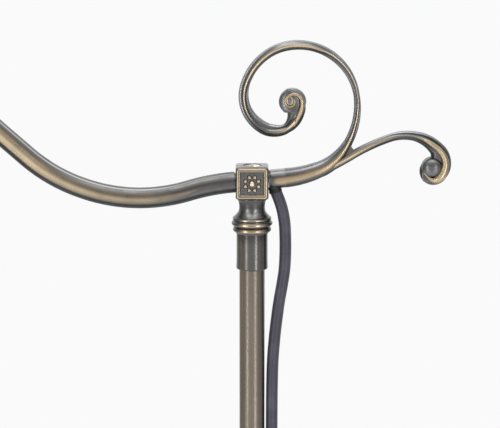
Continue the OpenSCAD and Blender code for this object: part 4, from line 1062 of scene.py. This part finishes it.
class LAMP_OT_block(bpy.types.Operator):
    """The square head block with framed rosette panels, and the plug in its top"""

    bl_idname = "lamp.block"
    bl_label = "Head block"

    def execute(self, context):
        sizes = context.scene.lamp_sizes
        wide, height = sizes.block / MM, sizes.arm_height / MM
        piece = new_piece("block_body", bevelled_box(wide, 18.3, wide, 1.5, height), "block")
        bore(piece, new_piece("top_hole", drill(head_point(0, 7.4), (0, 0, 1), 5.6, 0, 6), "block"))
        spots = np.empty(len(piece.data.vertices) * 3, np.float32)
        piece.data.vertices.foreach_get("co", spots)
        x, y, z = (spots.reshape(-1, 3) / MM - (0, 0, height)).T
        panel = (np.abs(y) > 8.9) & (np.maximum(np.abs(x), np.abs(z)) < 9.2)
        # The top face is painted a little darker as shade; the sunk panels are a little paler
        set_mask(piece.data, "dark", np.where(z > 9, 0.1, 0))
        set_mask(piece.data, "rim", np.where(panel, 0.25, 0))
        soften(piece.data, 40)
        place_piece(piece, "head", "head_bronze", "head_block")

        slope = math.radians(SLOPE)
        path = [head_point(-d * math.cos(slope), SEEN_LIFT - d * math.sin(slope)) for d in (8, 10, 11, 12.6, 16.2)]
        stub = sweep(path, [circle(r * MM, 48) for r in (5.9, 5.9, 5.75, 5.9, 4.9)])
        shells = panel_shells(-1) + panel_shells(1) + [(*stub, {"dark": 0.5})]
        add_piece("block_ornament", joined(shells), "block", 60, "head", "head_bronze")

        spigot = lathe([(0, 5), (5.3, 5), (5.3, 9.7), (4.95, 10.05), (0, 10.05)], 64, lift=height)
        # The plug is painted dark with some brass on its left and with a painted highlight on its right: painted
        # shade and light in the hole
        left = ramp(-np.array(spigot[0])[:, 0] / MM, -0.4, 1.2)
        shells = [(*spigot, {"dark": left * 0.5, "rub": left * 0.4, "shine": 1 - left}),
                  (*bevelled_box(2, 10.4, 3.4, 0.4, height + 8.7), {"rim": 0.5})]
        add_piece("top_plug_bronze", joined(shells), "block", 40, "head", "plug_brass", "top_plug")
        return {"FINISHED"}


# Down the neck from the block: radius and height in mm
NECK_OUTLINE = [
    (0, -8.6), (7, -8.6), (7, -10.2), (9.3, -10.2), (9.5, -10.6), (9.4, -11.3), (8.75, -12), (8.45, -12.9),
    (8.2, -14.2), (8.08, -15.6), (8.06, -16.5), (8.1, -17.2), (8.2, -17.9), (8.35, -18.5), (8.6, -19.1),
    (9.05, -19.8), (9.7, -20.6), (10.4, -21.4), (11, -22.2),
]
# The three rings: radius and height of the bead's centre, the bead's radius, the groove's radius under it,
# then the brass (wear and painted reflection): how far it spreads, how strong it is, and how strong its painted glint
# is
NECK_RINGS = (
    (11.25, -23.4, 0.95, 12, 0.36, 0.8, 1),
    (11.6, -26.4, 1.35, 12, 0.42, 0.85, 1.1),
    (10.5, -30.3, 1.6, 10.6, 0.5, 0.75, 0.8),
)


class LAMP_OT_neck(bpy.types.Operator):
    """The waisted neck with its three rings, and the sleeve on the pole"""

    bl_idname = "lamp.neck"
    bl_label = "Neck and sleeve"

    def execute(self, context):
        height = context.scene.lamp_sizes.arm_height / MM
        steps, outline, starts = 128, list(NECK_OUTLINE), []
        for centre, z, radius, groove, *_ in NECK_RINGS:
            starts.append(len(outline))
            outline += arc(centre, z, radius, 66, -66, 10) + [(groove, z - radius - 0.1)]
        outline += [(10.3, -32.8), (0, -32.8)]
        points, faces = lathe(outline, steps, lift=height)
        index = np.repeat(range(len(outline)), [1 if r < 1e-6 else steps for r, _ in outline])
        spots = np.array(points) / MM
        # front is 1 at the front and back and 0 at the sides: brass and painted glints go there and the sides get
        # painted shade; the glints stand where the two upright lamps reflect
        front = ramp(np.abs(spots[:, 1]) / (np.hypot(spots[:, 0], spots[:, 1]) + 1e-6), 0.62, 0.9)
        glints = bumps(spots[:, 0], (-4, 1.9), (4.2, 1.9)) * front
        masks = {name: np.zeros(len(points)) for name in MASKS}
        for start, (*_, spread, brass, glint) in zip(starts, NECK_RINGS):
            share = (index - start) / 10
            here = (share >= 0) & (share <= 1)
            masks["rub"] += here * bump(share, 0.5, spread) * front * brass
            masks["shine"] += here * bump(share, 0.42, 0.2) * glints * glint
            masks["dark"] += here * ((np.abs(share - 0.5) > 0.42) * 0.2 + (1 - front) * 0.3)
            masks["dark"] += (index == start + 11) * 0.2
        # Painted shade under the block and down the waist and flare
        masks["dark"] += ((index >= 3) & (index <= 6)) * 0.35 + ((index > 6) & (index < starts[0])) * 0.4
        # Two painted highlights on the waist
        masks["rim"] += bumps(spots[:, 0], (-2.5, 1.5), (2.4, 1.5)) * bump(spots[:, 2] - height, -18.6, 1.7) * 1.5
        masks["dark"] = np.clip(masks["dark"] - masks["rim"], 0, 1)
        add_piece("neck_bronze", (points, faces, masks), "block", 45, "head", "head_bronze", "neck_casting")

        inner, outer = 8.3, 9.8
        outline = [(inner, -28.2), (inner + 1, -28.2), (inner + 1, -32), (outer, -32), (outer, -40), (outer, -48),
                   (outer + 0.06, -52.5), (outer + 0.14, -53.6)]
        outline += arc(outer - 0.9, -54.9, 1.05, 20, -88) + [(inner, -56)]
        points, faces = lathe(outline, steps, lift=height)
        z = polar(points)[1] - height
        # Painted shade at the top under the neck and under the rolled lower lip
        shell = points, faces, {"dark": bump(z, -32, 0.8) * 0.7 + bump(z, -56, 0.7) * 0.8}
        add_piece("sleeve_tube", shell, "sleeve", 45, "head", "sleeve_bronze", "pole_sleeve")
        return {"FINISHED"}


# ---- pole and foot

RING_HEIGHT = 700  # mm from the floor to the middle of the ring over the pole's joint


class LAMP_OT_pole(bpy.types.Operator):
    """The two pole tubes and the turned ring over their joint"""

    bl_idname = "lamp.pole"
    bl_label = "Pole"

    def execute(self, context):
        dress(pole="lower_pole upper_pole", steel="pole_coupler swivel_stud swivel_nut", rubbed_brass="swivel_washer")
        pole = context.scene.lamp_sizes.pole_d / MM / 2
        outline = [(pole + 0.3, 13), (pole + 1.4, 13)]
        for z, out, radius in ((11.6, 1, 1.3), (6, 1.4, 1.7), (0, 1.8, 3), (-6, 1.4, 1.7), (-11.6, 1, 1.3)):
            outline += arc(pole + out, z, radius, 62, -62, 10)
        outline += [(pole + 1.4, -13), (pole + 0.3, -13)]
        points, faces = lathe(outline, lift=RING_HEIGHT)
        out = polar(points)[0] - pole
        # Brass on the crests with a painted highlight on the most proud, dark grooves
        masks = {"rub": ramp(out, 2.2, 3) * 0.9, "shine": ramp(out, 4.1, 4.8) * 0.6,
                 "dark": ramp(-out, -1.9, -1.4) * 0.8}
        add_piece("joint_ring_turned", (points, faces, masks), "foot", 35, "stand", "ring_brass", "joint_ring")
        return {"FINISHED"}


class LAMP_OT_foot(bpy.types.Operator):
    """The turned bronze cover of the weighted foot, its neck, and what is under it"""

    bl_idname = "lamp.foot"
    bl_label = "Foot"

    def execute(self, context):
        foot = context.scene.lamp_sizes.foot_d / MM / 2
        under, rim_top, crown, crown_top, wall, hole = 1, 13, 30, 56, 1.5, 6.8
        shoulder, step = foot - 7, 0.46 * foot
        outline = [(foot, under), (foot, under + 3)] + arc(foot - 3, rim_top - 3, 3, 0, 90, 12)
        outline += [(shoulder + 1.2, rim_top), (shoulder, rim_top + 0.3)]
        outline += eased((shoulder - 1, rim_top + 2), (step, rim_top + 14), True, 28)
        outline += [(step - 0.5, rim_top + 15.5)]
        outline += eased((step - 1, rim_top + 17), (crown + 2, crown_top - 2), False, 24)
        outline += [(crown + 0.6, crown_top - 0.5), (crown, crown_top), (hole, crown_top)]
        inner = [(r - wall, max(z - wall, under)) for r, z in outline[:-1]][::-1]
        outline += [(hole, crown_top - wall)] + [p for p in inner if p[0] > 7]
        points, faces = lathe(outline, 160)
        r, z = polar(points)
        # Brass on the beads, painted highlights on the step and the rim, dark grooves, and painted shade on the
        # lowest edge by the floor
        rub = bump(z, rim_top - 1, 2.4) * (r > foot - 6) + bumps(r, (step, 3.2), (crown + 2, 3))
        shine = bump(r, step - 0.6, 0.9) + bump(r, foot - 1, 0.8) * (z > rim_top - 4)
        dark = bump(r, shoulder + 0.6, 1.1) * (z < 20) + bump(r, step + 3.5, 2) * 0.6 + (z < under + 1.5)
        masks = {"rub": np.clip(rub + bump(r, shoulder - 2, 2) * 0.6, 0, 1), "shine": np.clip(shine * 0.7, 0, 1),
                 "dark": np.clip(dark, 0, 1)}
        add_piece("foot_cover", (points, faces, masks), "foot", 35, "stand", "foot_bronze", "base_cover")

        pole = context.scene.lamp_sizes.pole_d / MM / 2
        tall = 58
        middle = tall * 0.53
        outline = [(pole + 0.3, 18), (pole + 0.3, 0.2), (crown - 3.4, 0)] + arc(crown - 3, 2.2, 2.2, -80, 88, 14)
        outline += eased((crown - 4.2, 4.6), (pole + 6, tall * 0.5), True, 22)
        outline += arc(pole + 5, middle, 2, -50, 60, 10) + [(pole + 4, tall * 0.58), (pole + 2.6, tall - 10)]
        outline += arc(pole + 2.6, tall - 7, 1.8, -65, 65, 10)
        outline += arc(pole + 2.2, tall - 2, 1.4, -60, 88, 10) + [(pole + 0.3, tall - 0.4)]
        points, faces = lathe(outline, 128, lift=crown_top)
        r, z = polar(points)
        z = z - crown_top
        # Brass on the beads, painted highlights on their crests, dark grooves
        rub = bump(z, 2.4, 1.5) * (r > crown - 3) + bumps(z, (middle, 1.5), (tall - 7, 1.2), (tall - 2, 1.1))
        shine = bump(z, 2.8, 0.6) * (r > crown - 2) + bumps(z, (middle, 0.6), (tall - 6.8, 0.5))
        dark = bumps(z, (4.9, 0.7), (middle - 2.6, 0.8), (middle + 2.8, 0.8), (tall - 4.2, 0.6), (tall - 9.3, 0.7))
        masks = {"rub": np.clip(rub, 0, 1), "shine": np.clip(shine, 0, 1) * 0.6, "dark": np.clip(dark, 0, 1) * 0.8}
        add_piece("foot_neck", (points, faces, masks), "foot", 35, "stand", "foot_bronze", "base_neck")
        dress(felt="felt_pad", iron="base_weight", steel="base_washer base_locknut base_nipple")
        return {"FINISHED"}


# ---- knuckle, holder, shade and socket

TIP_X = -0.321742  # the arm's tip and the shade's axis
SEAT_Z = 1.334360 - 0.0185  # the holder's seat, under the knuckle's pin
LIP, LIP_DEPTH = 28.6, 6.5  # mm: radius of the shade's lip, and its depth under the seat
SHADE_GROOVE = 1.8  # mm: depth of the groove in the lip for the holder's screws
PITCH = 3.6  # mm from turn to turn of a lamp's rolled thread


def hung(outline, steps=96):
    """The shell of an outline (radius, depth under the holder's seat) in mm, turned about the shade's axis."""
    return lathe([(r, SEAT_Z / MM - d) for r, d in outline], steps, TIP_X)


def rolled(radius, swell, top, depths):
    """Outline points of a rolled thread, (radius, depth)."""
    return [(radius + swell * math.sin(TAU * (d - top) / PITCH), d) for d in depths]


def knurled_screw(turn, reach):
    """The shell of a thumbscrew towards the lip; its way in degrees, and the holder's radius in mm."""
    a = math.radians(turn)
    way, side, up = np.array([(math.cos(a), math.sin(a), 0), (-math.sin(a), math.cos(a), 0), (0, 0, 1)])
    hub = np.array((TIP_X, 0, SEAT_Z - (LIP_DEPTH + 5.8) * MM))
    start, count = LIP - SHADE_GROOVE, 72
    # Distance from the shade's axis, radius, and 1 where the head is knurled
    rows = [(start + 0.2, 0.9, 0), (start + 0.6, 1.5, 0)] + [(reach + out, radius, knurl) for out, radius, knurl in (
        (0.9, 1.5, 0), (1, 2.6, 0), (1.9, 2.6, 0), (2, 3.6, 0), (2.4, 4, 1), (5, 4, 1), (5.4, 3.6, 0), (5.5, 2.6, 0),
        (5.2, 2.2, 0), (5.2, 0.6, 0))]
    points = []
    for out, radius, knurl in rows:
        for b in (TAU * k / count for k in range(count)):
            r = radius * (1 - 0.06 * knurl * (0.5 + 0.5 * math.cos(24 * b)))
            points.append(hub + way * out * MM + (side * math.cos(b) + up * math.sin(b)) * r * MM)
    return points, tube_faces(len(rows), count), {}


class LAMP_OT_knuckle(bpy.types.Operator):
    """The tilting knuckle at the arm's tip and its slotted screws"""

    bl_idname = "lamp.knuckle"
    bl_label = "Knuckle"

    def execute(self, context):
        dress(fitting="knuckle_upper knuckle_lower", rubbed_brass="knuckle_screws")
        return {"FINISHED"}


class LAMP_OT_shade(bpy.types.Operator):
    """The opal glass bell, its holder and the knurled screws"""

    bl_idname = "lamp.shade"
    bl_label = "Shade and holder"

    def execute(self, context):
        sizes = context.scene.lamp_sizes
        thick, neck, low, rim = 3, LIP_DEPTH + 10.5, LIP_DEPTH + sizes.shade_h / MM, sizes.shade_r / MM
        knots = np.array([(LIP + 0.3, neck), (LIP + 37, neck + 7), (rim - 27, low - 40), (rim, low)])
        bell = [tuple(np.array(((1 - t) ** 3, 3 * t * (1 - t) ** 2, 3 * t * t * (1 - t), t ** 3)) @ knots)
                for t in np.linspace(0, 1, 49)]
        outer = [(LIP - 0.8, LIP_DEPTH), (LIP - 0.2, LIP_DEPTH + 0.2), (LIP, LIP_DEPTH + 0.8), (LIP, LIP_DEPTH + 3),
                 (LIP - SHADE_GROOVE, LIP_DEPTH + 4.4), (LIP - SHADE_GROOVE, LIP_DEPTH + 7.4)] + bell
        inner = [(r - thick, d) for r, d in outer][::-1]
        bead = [(rim - thick / 2 + thick / 2 * math.cos(a), low + 0.9 * math.sin(a))
                for a in np.radians(np.linspace(15, 165, 9))]
        add_piece("shade_bell", hung(outer + bead + inner, 160), "opal", 50, "shade_head", "shade_glass", "shade")

        wall, reach = 1.2, LIP + 2.4
        outer = [(5.1, 0), (15.6, 0), (16.4, 0.1), (22, 1.4)] + [(reach + r, d) for r, d in (
            (-3, 3.2), (-1.6, 3.9), (-0.8, 4.6), (-0.2, 5.5), (0, 6.6), (0, 8.4), (0.5, 8.9), (0.5, 9.5), (0, 10),
            (0, 14.2), (0, 15.2), (0.5, 15.6), (0.8, 16.1), (0.7, 16.4))]
        inner = [(r - wall, d if d > 7 else d + wall) for r, d in outer[:7:-1]]
        inner += [(reach - 2.2, 6.4), (reach - 4, 4.6), (21.5, 2.7), (15.6, 1.2), (5.1, 1.2)]
        points, faces = hung(outer + inner, 128)
        r, z = polar(points, TIP_X)
        d = SEAT_Z / MM - z
        # Brass on the beads, painted highlights on two of them, dark grooves
        rub = bumps(d, (4.8, 1.6), (9.2, 0.8), (16, 0.9)) + bump(r, 16, 1.6) * 0.5
        masks = {"rub": np.clip(rub, 0, 1), "shine": bumps(d, (9.2, 0.35), (15.9, 0.4)) * 0.6,
                 "dark": np.clip(bumps(d, (8.3, 0.5), (10.2, 0.5), (14.9, 0.5)), 0, 1) * 0.6}
        add_piece("holder_cup", (points, faces, masks), "foot", 35, "shade_head", "holder_bronze", "shade_holder")

        screws = joined([knurled_screw(turn, reach) for turn in (30, 150, 270)])[:2]
        add_piece("thumb_screws", screws, "rubbed_brass", 30, "shade_head", "screw_brass", "holder_screws")
        return {"FINISHED"}


class LAMP_OT_socket(bpy.types.Operator):
    """The lamp socket with its rolled thread, the turn switch and the bulb"""

    bl_idname = "lamp.socket"
    bl_label = "Socket and bulb"

    def execute(self, context):
        dress(
            socket_brass="socket_cap socket_shell", board="socket_liner", resin="socket_core switch_key",
            bright_contact="centre_contact", steel="switch_spindle", cores="arm_wire socket_leads",
        )

        top, low = 31, 52
        outer = rolled(13.85, 0.28, top, np.linspace(top, low, 48))
        inner = [(r - 0.45, d) for r, d in outer][::-1]
        shell = hung(outer + inner)
        add_piece("threaded_shell", shell, "bright_contact", 60, "shade_head", "socket_brass", "screw_shell")

        top, low = 31.8, 55
        outline = [(r, top + d) for r, d in ((0, 0), (2.4, 0), (3.4, 0.5), (4, 1), (9, 1.6), (11.4, 2.8), (12.4, 4))]
        outline += rolled(12.75, 0.3, top, np.linspace(top + 4.6, low - 1.6, 42))
        outline += [(12.9, low - 0.8), (12.6, low), (0, low)]
        add_piece("bulb_thread", hung(outline), "cap_metal", 60, "shade_head", "cap_metal", "bulb_cap")

        radius, centre = 23.5, 85
        outline = [(r, low + d) for r, d in ((0, 0.2), (12.5, 0.2), (12.7, 2), (12.9, 4.5), (13.6, 8), (15.2, 11.6))]
        outline += arc(0, centre, radius, -46, 90, 39)
        outline[-1] = (0, centre + radius)
        add_piece("bulb_envelope", hung(outline), "bulb", 60, "shade_head", "bulb_glass", "bulb_glass")
        return {"FINISHED"}


# ---- panel and run

STEPS = (
    LAMP_OT_studio, LAMP_OT_lead, LAMP_OT_arm, LAMP_OT_scroll, LAMP_OT_block, LAMP_OT_neck, LAMP_OT_pole,
    LAMP_OT_foot, LAMP_OT_knuckle, LAMP_OT_shade, LAMP_OT_socket,
)


class LAMP_PT_panel(bpy.types.Panel):
    """Buttons for each group of pieces, and the sizes and colours"""

    bl_label = "Bridge Floor Lamp"
    bl_idname = "LAMP_PT_panel"
    bl_space_type = "VIEW_3D"
    bl_region_type = "UI"
    bl_category = "Lamp"

    def draw(self, context):
        column = self.layout.column(align=True)
        for step in STEPS:
            column.operator(step.bl_idname)
        for group in (context.scene.lamp_sizes, context.scene.lamp_colours, context.scene.lamp_studio):
            box = self.layout.box()
            for name in group.__annotations__:
                box.prop(group, name)


GROUPS = {"lamp_sizes": LampSizes, "lamp_colours": LampColours, "lamp_studio": LampStudio}


def register():
    for group in GROUPS.values():
        bpy.utils.register_class(group)
    for step in STEPS + (LAMP_PT_panel,):
        bpy.utils.register_class(step)
    for name, group in GROUPS.items():
        setattr(bpy.types.Scene, name, PointerProperty(type=group))


def unregister():
    for name in GROUPS:
        delattr(bpy.types.Scene, name)
    for step in reversed(STEPS + (LAMP_PT_panel,)):
        bpy.utils.unregister_class(step)
    for group in GROUPS.values():
        bpy.utils.unregister_class(group)


def main():
    register()
    for step in STEPS:
        family, name = step.bl_idname.split(".")
        getattr(getattr(bpy.ops, family), name)()


if __name__ == "__main__":
    main()
